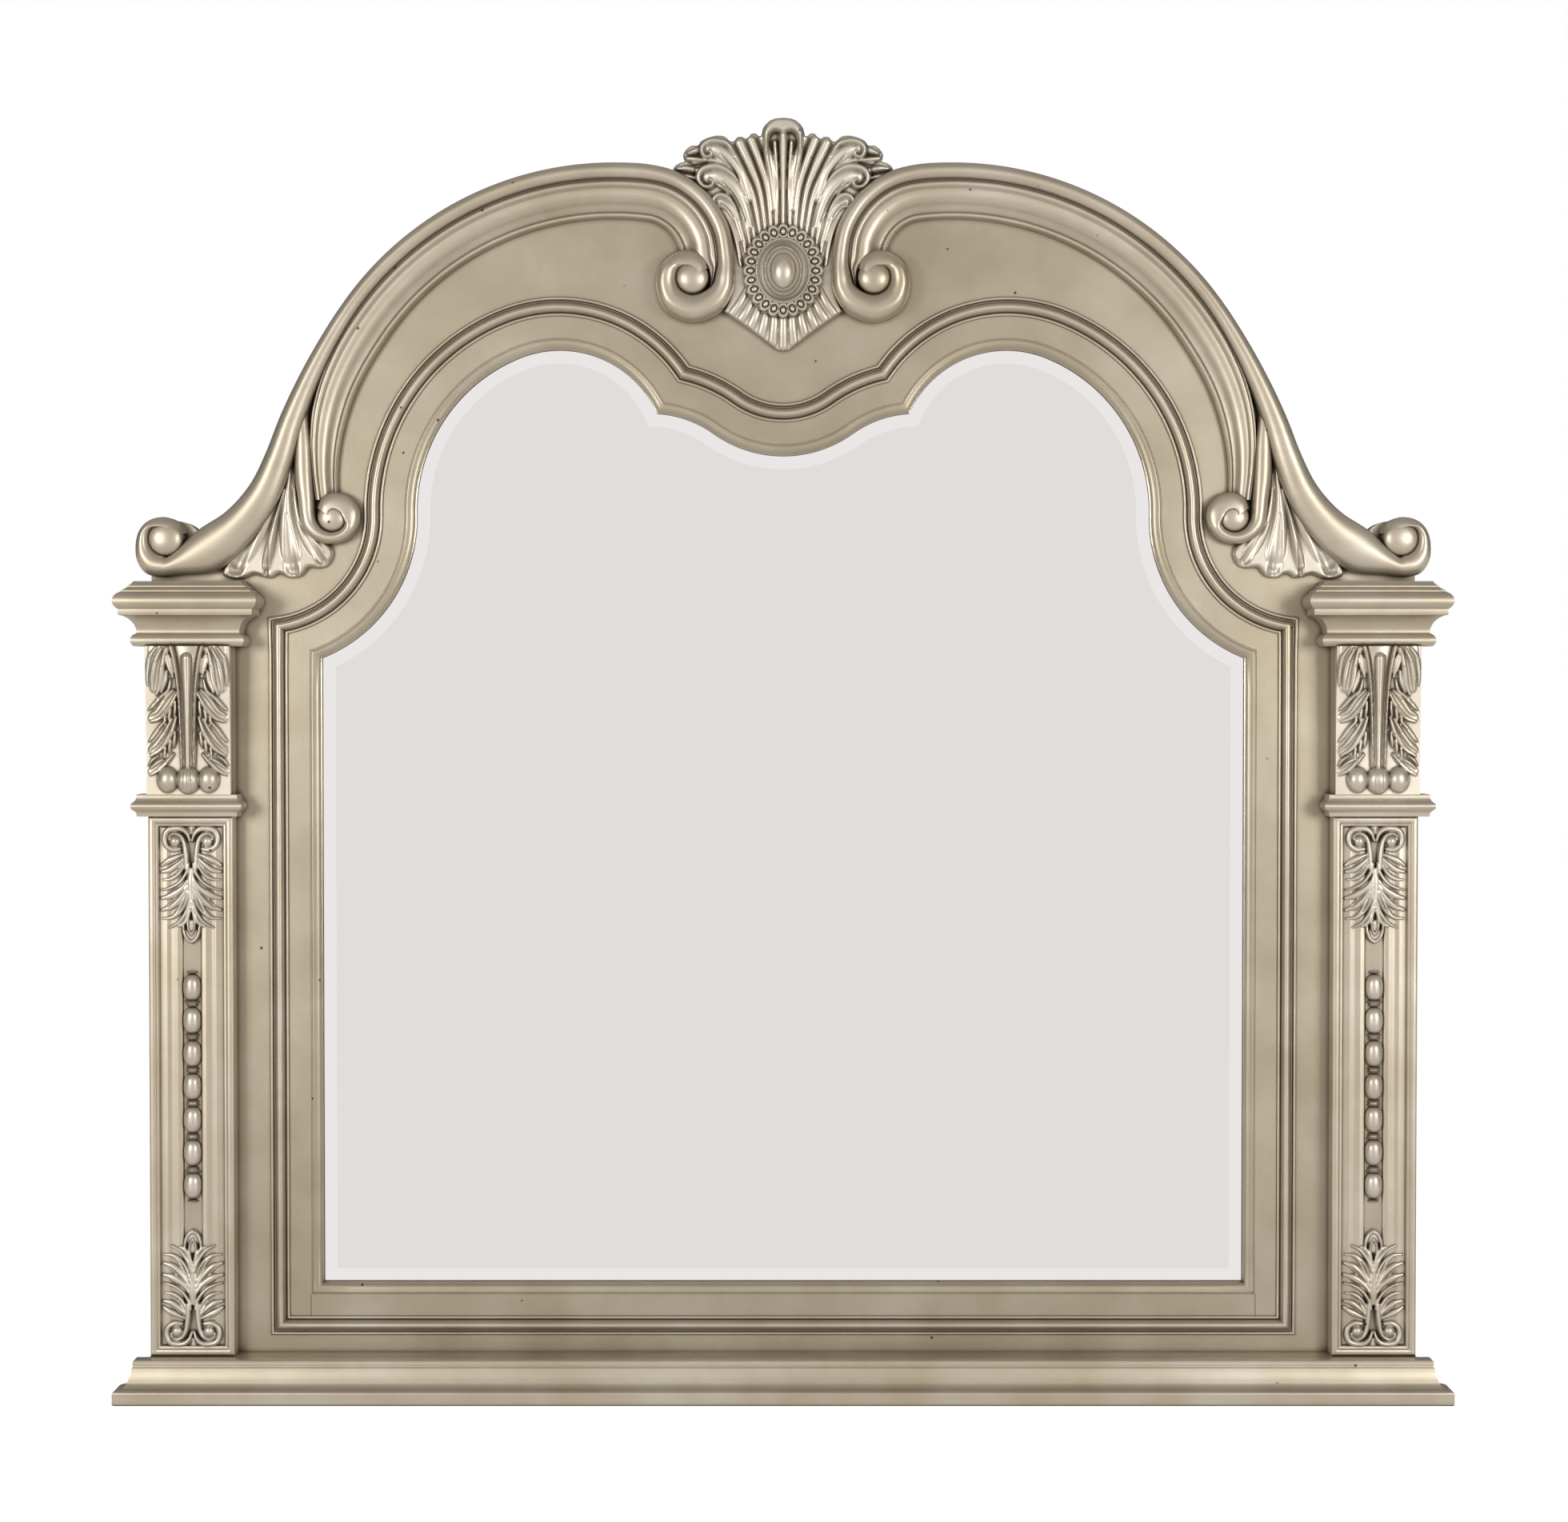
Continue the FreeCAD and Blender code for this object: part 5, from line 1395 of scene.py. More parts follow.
@dataclass
class PearlString(Part):
    """String of barrel pearls with saddles between them, made by Geometry Nodes from a radius rule."""

    pearls: int = 7
    pitch: float = 31.2
    top: float = 401.4
    radius: float = 8.45
    barrel: float = 0.85
    power: float = 2.7
    saddle: float = 4.6
    flare: float = 3.2
    sink: float = 15.8
    spin: int = 40
    grain: int = 26
    # glaze and painted shade in the saddles between pearls: how strong, how early it starts and over what share of
    # the pitch it grows
    glaze_and_shade: float = 0.35
    early: float = 0.06
    fade: float = 0.1
    # inputs of the node group, each named for its field here
    floats: tuple[str, ...] = ("Pitch", "Radius", "Barrel", "Power", "Saddle", "Flare")
    whole: tuple[str, ...] = ("Pearls", "Grain", "Spin")
    # the radius rule: name of each result, the operation, and the two things that it works on
    rule: tuple[tuple, ...] = (
        ("length", "MULTIPLY", "Pitch", "Pearls"), ("stations", "MULTIPLY", "Pearls", "Grain"),
        ("turn", "DIVIDE", "along", "Pitch"), ("turn", "FRACT", "turn", 0.0), ("off", "SUBTRACT", "turn", 0.5),
        ("off", "ABSOLUTE", "off", 0.0), ("off", "MULTIPLY", "off", 2.0), ("share", "DIVIDE", "off", "Barrel"),
        ("share", "MINIMUM", "share", 1.0), ("pearl", "POWER", "share", "Power"),
        ("pearl", "SUBTRACT", 1.0, "pearl"), ("pearl", "MAXIMUM", "pearl", 0.0), ("pearl", "SQRT", "pearl", 0.0),
        ("pearl", "MULTIPLY", "Radius", "pearl"), ("rest", "SUBTRACT", 1.0, "off"),
        ("room", "SUBTRACT", 1.0, "Barrel"), ("gap", "DIVIDE", "rest", "room"), ("bell", "MULTIPLY", "gap", "gap"),
        ("bell", "MULTIPLY", "Flare", "bell"), ("bell", "ADD", "Saddle", "bell"),
        ("near", "LESS_THAN", "gap", 1.0), ("bell", "MULTIPLY", "bell", "near"),
        ("wide", "MAXIMUM", "pearl", "bell"))

    def group(self) -> Tree:
        """Make the node group: a line, its radius from the rule, swept by a circle.

        Returns:
            The group.
        """
        tree, given = open_group("pearl_string", self.floats, self.whole)
        place = add(tree, "GeometryNodeInputPosition")
        parts = add(tree, "ShaderNodeSeparateXYZ", {0: place.outputs[0]})
        known = {label: given[label] for label in self.floats + self.whole}
        known["along"] = parts.outputs["Z"]
        for name, kind, a, b in self.rule:
            known[name] = add(tree, "ShaderNodeMath", {0: known.get(a, a), 1: known.get(b, b)},
                              operation=kind).outputs[0]
        end = add(tree, "ShaderNodeCombineXYZ", {"Z": known["length"]})
        line = add(tree, "GeometryNodeCurvePrimitiveLine", {"End": end.outputs[0]})
        fine = add(tree, "GeometryNodeResampleCurve", {"Curve": line.outputs[0], "Count": known["stations"]})
        ring = add(tree, "GeometryNodeCurvePrimitiveCircle", {"Resolution": given["Spin"], "Radius": 1.0})
        swept = add(tree, "GeometryNodeCurveToMesh", {"Curve": fine.outputs[0], "Profile Curve": ring.outputs[0],
                                                      "Scale": known["wide"], "Fill Caps": True})
        return close_group(tree, given, swept.outputs[0])

    def build(self) -> None:
        """Make the string of each pilaster."""
        shop, looks = self.shop, self.looks
        inputs = {label: getattr(self, label.lower()) for label in self.floats + self.whole}
        points, faces = grow("pearl_string", self.group(), inputs | {"Material": looks.carved})
        bottom = self.top - self.pearls * self.pitch + (1 - self.barrel) * self.pitch / 2
        off = np.abs((points[:, 2] / self.pitch) % 1.0 - 0.5) * 2
        # darkening of the saddles between the pearls: partly glaze, partly painted shade
        hollow = self.glaze_and_shade * np.clip((off - self.barrel + self.early) / self.fade, 0, 1)
        verts = shop.world(shop.levels.pilaster_x + points[:, 0], bottom + points[:, 2],
                           np.maximum(self.sink + points[:, 1], self.sink - 1.0))
        shop.pair("pearl_strip", verts, outward(verts, faces), looks.carved, "champagne_resin",
                  ("pearl_strip",), hollow)


def open_group(name: str, floats: tuple[str, ...], whole: tuple[str, ...]) -> tuple[Tree, object]:
    """Start a node group with named inputs, a material among them.

    Args:
        name: Name of the group.
        floats: Inputs that are sizes or shares.
        whole: Inputs that are counts.

    Returns:
        The group and its inputs' sockets.
    """
    tree = bpy.data.node_groups.new(name, "GeometryNodeTree")
    kinds = [(label, "Float") for label in floats] + [(label, "Int") for label in whole]
    for label, kind in kinds + [("Material", "Material")]:
        tree.interface.new_socket(label, in_out="INPUT", socket_type="NodeSocket" + kind)
    tree.interface.new_socket("Geometry", in_out="OUTPUT", socket_type="NodeSocketGeometry")
    return tree, add(tree, "NodeGroupInput").outputs


def close_group(tree: Tree, given: object, shape: Socket) -> Tree:
    """End a node group: make its instances real and give it its material.

    Args:
        tree: The group.
        given: Its inputs' sockets.
        shape: Socket of the geometry.

    Returns:
        The group.
    """
    real = add(tree, "GeometryNodeRealizeInstances", {0: shape})
    dressed = add(tree, "GeometryNodeSetMaterial", {"Geometry": real.outputs[0], "Material": given["Material"]})
    add(tree, "NodeGroupOutput", {"Geometry": dressed.outputs[0]})
    return tree


def grow(name: str, tree: Tree, inputs: dict[str, object]) -> Solid:
    """Evaluate a node group once.

    Args:
        name: Name of the object that carries it meanwhile.
        tree: The node group.
        inputs: Value of each named input.

    Returns:
        Points and faces of its mesh.
    """
    holder = bpy.data.objects.new(name, bpy.data.meshes.new(name))
    bpy.context.scene.collection.objects.link(holder)
    modifier = holder.modifiers.new("grow", "NODES")
    modifier.node_group = tree
    for item in tree.interface.items_tree:
        if item.in_out == "INPUT":
            modifier[item.identifier] = inputs[item.name]
    holder.update_tag()
    graph = bpy.context.evaluated_depsgraph_get()
    graph.update()
    mesh = bpy.data.meshes.new_from_object(holder.evaluated_get(graph))
    holder.modifiers.clear()
    bpy.data.objects.remove(holder)
    return np.array([tuple(v.co) for v in mesh.vertices]), [list(face.vertices) for face in mesh.polygons]


@dataclass
class Blocks(Part):
    """Capitals, neck mouldings and the base moulding."""

    capital: tuple[tuple[float, ...], ...] = ((-0.6, 0), (10.2, 0), (13.2, 5.6, 10, 11.2), (8.4, 12), (8, 13),
        (11.4, 22.6, 20.6, 28.8), (22, 28.9), (22.4, 29.6), (22.4, 34.4), (23.6, 35.4), (27, 43, 22, 50),
        (20.4, 50.8), (20.2, 52.2), (17.8, 53.2, 16, 54.8), (15, 55.2), (14.8, 56.6), (12.4, 58.2, 10.4, 60.9),
        (-0.6, 60.9))
    neck: tuple[tuple[float, ...], ...] = ((-0.6, 0), (6.8, 0), (7.4, 3.6), (8.6, 4.8), (9.4, 5.6),
        (12, 9.4, 9.8, 13.4), (8.6, 14.6), (7.6, 16.4, 7.2, 20.6), (-0.6, 20.6))
    base: tuple[tuple[float, ...], ...] = ((-0.6, 0), (28.2, 0), (29.3, 1.1), (29.3, 10.6), (28.9, 12.4, 27.4, 13.4),
        (25, 14.2), (20.2, 15.8, 17.4, 19.8), (15.2, 25.6, 13.8, 32.4), (12.8, 33), (12.6, 34.2), (13.2, 34.6),
        (13, 38.4), (12, 39.5), (-0.6, 39.5))
    neck_shift: float = 2.0

    def build(self) -> None:
        """Make every block moulding."""
        shop, looks = self.shop, self.looks
        at = shop.levels
        low, high = at.pilaster_x - at.pilaster_half, at.pilaster_x + at.pilaster_half
        shift = self.neck_shift
        for values in (
                ("capital_moulding", ("capital_front", "capital_outer_return", "capital_inner_return"),
                 low, high, 0.0, at.pilaster_h, at.capital_bottom, self.capital),
                ("neck_moulding", ("neck_moulding",), low + shift, high + shift, 0.0, at.pilaster_h,
                 at.pilaster_top, self.neck),
                ("base_moulding", ("base_front_moulding", "base_return_left", "base_return_right"),
                 -at.outer_x, at.outer_x, at.board_back, at.plinth_h, 0.0, self.base, False)):
            MouldedBlock(shop, looks, *values).build()


@dataclass
class ShellFan(Part):
    """Fan of four spoon-shaped lobes in the narrow end of the cove."""

    lobes: tuple[Stroke, ...] = (
        one((461, 872, 2, 9.5), (459.6, 846, 4.4, 11), (453.6, 821, 7.4, 11.5), (443, 803.6, 10.4, 11),
            (436.4, 794.6, 11, 9)),
        one((464, 882, 2.4, 10), (467.6, 852, 5.6, 12), (468, 826, 9.4, 12.5), (464.6, 800, 13.4, 11.5),
            (463, 788, 13.6, 9)),
        one((467, 880, 2.4, 10.5), (476, 856, 6, 12.5), (489.6, 830, 10.6, 13), (506, 804, 14.4, 12),
            (514, 790, 14.6, 9.5)),
        one((470, 858, 1.4, 12), (478.4, 828, 3.2, 14.5), (484.6, 800, 5.6, 14.5), (487.6, 786, 6.4, 11)),
    )
    plate: tuple[Point, ...] = ((462, 890), (455, 850), (440, 820), (426, 803), (426.6, 791), (437, 783.6),
        (448, 784), (455, 776), (466, 774.2), (476, 778.4), (483, 774.2), (492, 775.6), (500, 777.4), (510, 773.6),
        (524, 774.2), (530, 781), (517, 806), (498, 836), (476, 878))
    grooves: tuple[Stroke, ...] = (
        slit((455.4, 826, 2, 0.8), (445.6, 808, 5.4, 2.6), (435, 790, 6, 4), twin=False),
        slit((468, 834, 2.4, 0.8), (465.4, 806, 7.4, 3), (463, 780, 8, 4.4), twin=False),
        slit((487, 836, 2.6, 0.8), (504, 808, 8, 3.2), (517, 782, 8.8, 4.6), twin=False),
        slit((484.4, 806, 1.4, 0.6), (487, 792, 3.4, 2.6), (488.4, 778, 3.2, 3.2), twin=False),
    )
    low: Point = (420.0, 770.0)
    high: Point = (534.0, 892.0)
    cell: float = 0.6
    ground: float = -2.0
    back: float = -3.0
    plate_rise: float = 8.0

    def build(self) -> None:
        """Make both fans."""
        shop, looks = self.shop, self.looks
        work = Relief(self.low, self.high, self.cell, self.ground)
        work.fill(smooth_line(self.plate, 5, True), self.plate_rise, 4.0)
        work.carve(self.lobes + self.grooves)
        work.soften()
        keep = work.corners(work.h).min(0) > self.ground + 0.2
        verts, faces, hollow = work.close(shop, self.back, keep, 4.0, 4.0)
        shop.pair("shell_fan", verts, faces, looks.carved, "champagne_resin", ("shell_fan",), hollow)


@dataclass
class Crest(Part):
    """Shell crest: hooded curl, fan of ribs, three acanthus curls a side, and the rosette."""

    edge: tuple[Point, ...] = ((0, 1203.9), (7, 1203.4), (13.5, 1200.8), (18.2, 1196), (19.8, 1191.2), (20.6, 1187.8),
        (22.8, 1187.2), (25.6, 1190.2), (29.4, 1190), (32.6, 1186.6), (35.4, 1185.6), (39.4, 1187.4), (43, 1186.6),
        (46, 1183.4), (50, 1183.4), (54.5, 1187.2), (61.5, 1188.4), (69.4, 1186.8), (76.4, 1183.8), (80, 1179.4),
        (85, 1179.6), (90.4, 1176.4), (94, 1170.6), (92, 1165.6), (97, 1163.6), (101.4, 1161), (103.8, 1156),
        (101, 1152), (92, 1146), (77, 1132), (66, 1116), (57, 1098), (51.5, 1080), (48.5, 1062), (48.5, 1048),
        (51, 1036), (54.6, 1027), (53.5, 1024), (30, 1008), (8, 991.6), (4, 989.2), (0, 988.4))
    ribs: tuple[Stroke, ...] = (
        one((0, 1100, 2.2, 6), (0, 1140, 2.6, 7.5), (0, 1172, 3.9, 8.5), (0, 1186, 4.6, 8)),
        two((6, 1100, 2.2, 4), (7.6, 1140, 2.7, 6.5), (12.6, 1168, 3.4, 8.5), (20.5, 1186, 3.4, 8)),
        two((11, 1100, 2.1, 4), (14.6, 1138, 2.9, 6.5), (21.4, 1162, 3.7, 8.5), (30, 1183.5, 4, 7.5)),
        two((16, 1098, 2.1, 4), (21.6, 1135, 3, 6.5), (30.4, 1159, 4, 8.5), (40.6, 1180.6, 4.4, 7.5)),
        two((21, 1096, 2.1, 4), (28, 1131, 3, 6.5), (37.6, 1152, 3.9, 8), (49.5, 1175, 4, 7)),
        two((26, 1092, 2, 4), (33.6, 1124, 2.8, 6), (43.4, 1145, 3.4, 7.5), (57, 1161.5, 3.2, 7), (70, 1165, 2.6, 7),
            (84, 1163, 2, 6)),
        two((30.6, 1088, 2, 4), (37.6, 1116, 2.7, 6), (47, 1134, 3, 7), (58.5, 1147.6, 2.8, 7)),
        two((35, 1080, 2, 3.5), (40.4, 1106, 2.6, 5.5), (48.5, 1123, 2.8, 6), (55, 1132, 2.6, 6.5)),
        two((39.6, 1068, 1.8, 3), (44.6, 1094, 2.4, 4.5), (53, 1113, 2.4, 5), (62, 1124, 2, 5)),
    )
    curls: tuple[Stroke, ...] = (
        # bodies of the three leaves
        two((32.7, 1130, 3.6, 8), (40.6, 1150.6, 5.6, 9.5), (50.5, 1165, 6.8, 10.5), (61, 1173.4, 6.6, 11),
            (69, 1174.6, 5.6, 10)),
        two((31, 1104, 3.4, 7), (38.7, 1125, 6, 9), (48.5, 1140.8, 7.6, 10.5), (60.4, 1149.6, 7.6, 11),
            (70, 1149.6, 6.4, 10)),
        two((38, 1092, 3, 5), (44, 1111, 4.2, 8), (51, 1121.6, 5, 9.5), (58.6, 1126.4, 5.2, 9)),
        # rolled lips with the eye of each curl
        two((45.4, 1170, 1.6, 10), (52, 1179, 2.4, 13), (60.4, 1182, 2.8, 15), (69.2, 1181.6, 2.9, 15),
            (75.6, 1177.2, 2.7, 15), (75.8, 1171.2, 2.4, 14), (71.6, 1167.6, 2.1, 13.5), (67, 1170, 2, 13.5),
            (68.6, 1173, 1.9, 13.5)),
        two((36.4, 1133, 1.6, 9), (43.6, 1147, 2.4, 13), (54.4, 1156.2, 2.9, 15), (66.3, 1159, 3, 15.5),
            (76.4, 1155.8, 2.9, 15), (79.8, 1148.4, 2.7, 14.5), (75.6, 1141.4, 2.4, 14), (69, 1140.4, 2.1, 13.5),
            (65.6, 1144.4, 2, 13.5), (69, 1147.4, 1.9, 13.5)),
        two((41, 1109, 1.4, 8), (45.8, 1122.4, 2, 11.5), (52, 1130.4, 2.4, 13), (60, 1132.8, 2.5, 13.5),
            (65.4, 1128.6, 2.4, 13), (63.6, 1122.4, 2, 12.5), (58.6, 1121.8, 1.8, 12)),
        # tips
        two((76, 1175.4, 2.2, 11), (82, 1173.6, 2.8, 11), (88.6, 1171.6, 1.8, 8)),
        two((72, 1164.8, 1.8, 9), (82, 1165.8, 2.6, 9.5), (91.6, 1167, 2, 7)),
        two((80.6, 1155.6, 2.2, 11), (90, 1157.6, 2.8, 10.5), (98.6, 1157.6, 2, 7.5)),
        two((82, 1148.6, 2, 9.5), (89, 1150.2, 2.4, 9), (96, 1151.6, 1.8, 6.5)),
    )
    veins: tuple[Stroke, ...] = (
        slit((36.6, 1134, 0.8, 3.5), (46, 1155, 1, 4.5), (58, 1169.6, 0.8, 3)),
        slit((35.6, 1109, 0.8, 3.5), (44.6, 1130, 1, 4.5), (57, 1144.4, 0.8, 3)),
        slit((41, 1118, 0.8, 3.5), (52, 1137, 1, 4.5), (61.6, 1143.6, 0.8, 2.5)),
        slit((46.6, 1112, 0.7, 3), (54, 1122.4, 0.9, 3.5), (59.6, 1125.6, 0.7, 2.5)),
        slit((78.8, 1179, 0.8, 4.5), (78.6, 1170.6, 0.9, 4.5)),
        slit((82.6, 1158, 0.8, 4.5), (83.4, 1150.6, 0.9, 4.5)),
    )
    # strap of the hood: outer edge, then its lower edge with the cusp in the middle
    hood: tuple[Point, ...] = ((0, 1204.4), (6, 1204), (12, 1201.8), (17.4, 1196.4), (19.6, 1188.6), (19, 1178),
        (17, 1168), (13.6, 1169), (13, 1180), (11.8, 1187), (8, 1190.2), (3.8, 1189.4), (0, 1186))
    hood_rise: float = 10.6
    fleur: tuple[Stroke, ...] = (
        two((8.2, 1120, 2.2, 6), (11.4, 1148, 2.6, 9), (14.8, 1166, 2.8, 12), (16.2, 1176, 2.8, 14)),
        one((0, 1116, 2.2, 4), (0, 1150, 3, 9.5), (0, 1176, 4, 14), (0, 1187, 4, 16)),
        two((4.8, 1116, 1.6, 3), (5.8, 1150, 2, 7.5), (7, 1170, 2.2, 10), (7.8, 1181, 2.2, 11)),
    )
    lower: tuple[Stroke, ...] = (
        one((0, 1024, 3, 3.5), (0, 1008, 3.8, 5), (0, 992, 3.8, 4)),
        two((8, 1024, 3, 3.5), (8.6, 1010, 3.8, 5), (10, 995.6, 3.8, 3.5)),
        two((15.6, 1025, 3, 3.5), (18, 1013, 3.8, 5), (20.6, 1003, 3.8, 3.5)),
        two((23, 1029, 3, 3.5), (27, 1018, 3.8, 5), (30.6, 1010, 3.8, 3.5)),
        two((29, 1035, 2.8, 3.5), (35, 1024, 3.6, 4.5), (40, 1016.6, 3.6, 3.5)),
        two((34, 1046, 2.6, 3), (40.6, 1033, 3.2, 4), (48, 1022.6, 3.2, 3)),
    )
    low: Point = (-106.0, 985.0)
    high: Point = (106.0, 1206.0)
    cell: float = 0.6
    # how the shell leans forward to its top and back to its foot and sides: start, length, height, power
    top_lean: Station = (1105.0, 85.0, 9.5, 1.4)
    foot_lean: Station = (1034.0, 44.0, 5.5, 1.6)
    side_lean: Station = (56.0, 46.0, 4.0, 1.0)
    # height of the ground, and of the foot from which the rim is rounded
    ground: float = 12.0
    foot: float = 4.0
    rim: float = 2.4
    eye_z: float = 1061.8
    petals: int = 24
    petal_ring: Point = (30.6, 36.8)
    rosette_low: Point = (-39.0, 1017.0)
    rosette_high: Point = (39.0, 1107.0)
    rosette_back: float = 10.0
    # half sizes of the rosette: its plate, the outer ring, the inner ring and the cabochon
    plate: Point = (37.6, 43.6)
    band: Point = (25.0, 29.8)
    inner: Point = (16.8, 22.0)
    stone: Point = (12.2, 17.6)
    # height and rise of the plate and of the cabochon, and rise and narrowness of the two rings
    plate_rise: Point = (17.0, 2.0)
    stone_rise: Point = (16.0, 10.4)
    band_rise: Point = (5.0, 0.07)
    inner_rise: Point = (3.8, 0.075)
    # wreath: radius of a loop, of its wire and of its bead, and its height
    loop: float = 4.3
    wire: float = 1.5
    bead: float = 2.6
    wreath_h: float = 19.2
    # how dark the glaze and painted shade under the wreath are, and the size of oval from which they start
    glaze_and_shade: float = 0.62
    glaze_and_shade_from: float = 0.72

    def build(self) -> None:
        """Make the shell and its rosette."""
        shop, looks = self.shop, self.looks
        work = Relief(self.low, self.high, self.cell, 0.0, 1.12, 0.62)
        work.carve(self.ribs + self.curls + self.veins + self.lower + self.fleur)
        work.fill(mirrored(self.hood), self.hood_rise, 5.0)
        work.h += (self.ground + self.leaning(work.z, self.top_lean) - self.leaning(-work.z, self.foot_lean, -1)
                   - self.leaning(np.abs(work.x), self.side_lean))
        work.soften()
        work.inside = work.depth(mirrored(self.edge))
        skin = np.clip(work.inside / self.rim, 0, 1)
        work.h = self.foot + (work.h - self.foot) * (0.72 + 0.28 * np.sqrt(1 - (1 - skin) ** 2))
        verts, faces, hollow = work.close(shop, 0.0, None, 2.4, 3.4)
        shop.piece("crest_shell", verts, faces, looks.carved, "champagne_resin", ("crest_shell",), hollow)
        self.rosette()

    @staticmethod
    def leaning(place: Array, lean: Station, way: int = 1) -> Array:
        """Give how far a lean has grown at each place, along the way that it grows."""
        return lean[2] * np.clip((place - way * lean[0]) / lean[1], 0, 1) ** lean[3]

    @staticmethod
    def oval(x: Array, z: Array, size: Point) -> Array:
        """Give the distance from the middle of an oval, 1 on its edge."""
        return np.hypot(x / size[0], z / size[1])

    def rosette(self) -> None:
        """Make the rosette: cabochon, rings, and a wreath of small loops grown by Geometry Nodes."""
        shop, looks = self.shop, self.looks
        work = Relief(self.rosette_low, self.rosette_high, self.cell, 0.0)
        x, z = work.x, work.z - self.eye_z
        angle = np.arctan2(z / self.petal_ring[1], x / self.petal_ring[0]) / (math.tau / self.petals)
        size, band, inner, stone = (self.oval(x, z, ring) for ring in (self.plate, self.band, self.inner, self.stone))
        work.inside = (1.02 - 0.06 * (1 - np.abs(np.cos(angle * math.pi))) - size) * 38.0
        work.h = self.plate_rise[0] + self.plate_rise[1] * np.clip((1 - size) / 0.5, 0, 1)
        work.h += sum(rise * np.exp(-((oval - 1.0) / narrow) ** 2)
                      for oval, (rise, narrow) in ((band, self.band_rise), (inner, self.inner_rise)))
        low, rise = self.stone_rise
        work.h = np.maximum(work.h, np.where(stone < 1, low + rise * np.sqrt(np.maximum(1 - stone ** 2, 0)), 0))
        back, plate, hollow = work.close(shop, self.rosette_back, None, 2.4, 2.2)
        points, loops = grow("rosette_wreath", self.wreath(), {
            "Loops": self.petals, "Wide": self.petal_ring[0], "High": self.petal_ring[1], "Loop": self.loop,
            "Wire": self.wire, "Bead": self.bead, "Material": looks.carved})
        wreath = shop.world(points[:, 0], self.eye_z + points[:, 1], self.wreath_h + 1.5 * points[:, 2])
        verts, faces = gather([(back, plate), (wreath, loops)])
        # glaze and painted shade lie under the wreath, between its loops
        under = self.oval(back[:, 0] / MM, back[:, 2] / MM - self.eye_z, self.plate) > self.glaze_and_shade_from
        hollow = np.concatenate([np.maximum(hollow, self.glaze_and_shade * under), np.zeros(len(wreath))])
        shop.piece("crest_rosette", verts, faces, looks.carved, "champagne_resin", ("crest_rosette",), hollow)

    @staticmethod
    def wreath() -> Tree:
        """Make the node group: loops with a bead in each, set round an ellipse.

        Returns:
            The group.
        """
        tree, given = open_group("rosette_wreath", ("Wide", "High", "Loop", "Wire", "Bead"), ("Loops",))
        path = add(tree, "GeometryNodeCurvePrimitiveCircle", {"Resolution": 96, "Radius": 1.0})
        size = add(tree, "ShaderNodeCombineXYZ", {"X": given["Wide"], "Y": given["High"], "Z": 1.0})
        oval = add(tree, "GeometryNodeTransform", {"Geometry": path.outputs[0], "Scale": size.outputs[0]})
        spots = add(tree, "GeometryNodeResampleCurve", {"Curve": oval.outputs[0], "Count": given["Loops"]})
        loop = add(tree, "GeometryNodeCurvePrimitiveCircle", {"Resolution": 20, "Radius": given["Loop"]})
        wire = add(tree, "GeometryNodeCurvePrimitiveCircle", {"Resolution": 10, "Radius": given["Wire"]})
        torus = add(tree, "GeometryNodeCurveToMesh", {"Curve": loop.outputs[0], "Profile Curve": wire.outputs[0]})
        ball = add(tree, "GeometryNodeMeshUVSphere", {"Segments": 12, "Rings": 8, "Radius": given["Bead"]})
        bead = add(tree, "GeometryNodeTransform", {"Geometry": ball.outputs[0], "Scale": (1.0, 1.0, 0.55)})
        both = add(tree, "GeometryNodeJoinGeometry")
        tree.links.new(torus.outputs[0], both.inputs[0])
        tree.links.new(bead.outputs[0], both.inputs[0])
        tangent = add(tree, "GeometryNodeInputTangent")
        turned = add(tree, "FunctionNodeAlignRotationToVector", {"Vector": tangent.outputs[0]}, axis="X")
        set_out = add(tree, "GeometryNodeInstanceOnPoints", {
            "Points": spots.outputs[0], "Instance": both.outputs[0], "Rotation": turned.outputs[0],
            "Scale": (1.0, 1.3, 1.0)})
        return close_group(tree, given, set_out.outputs[0])


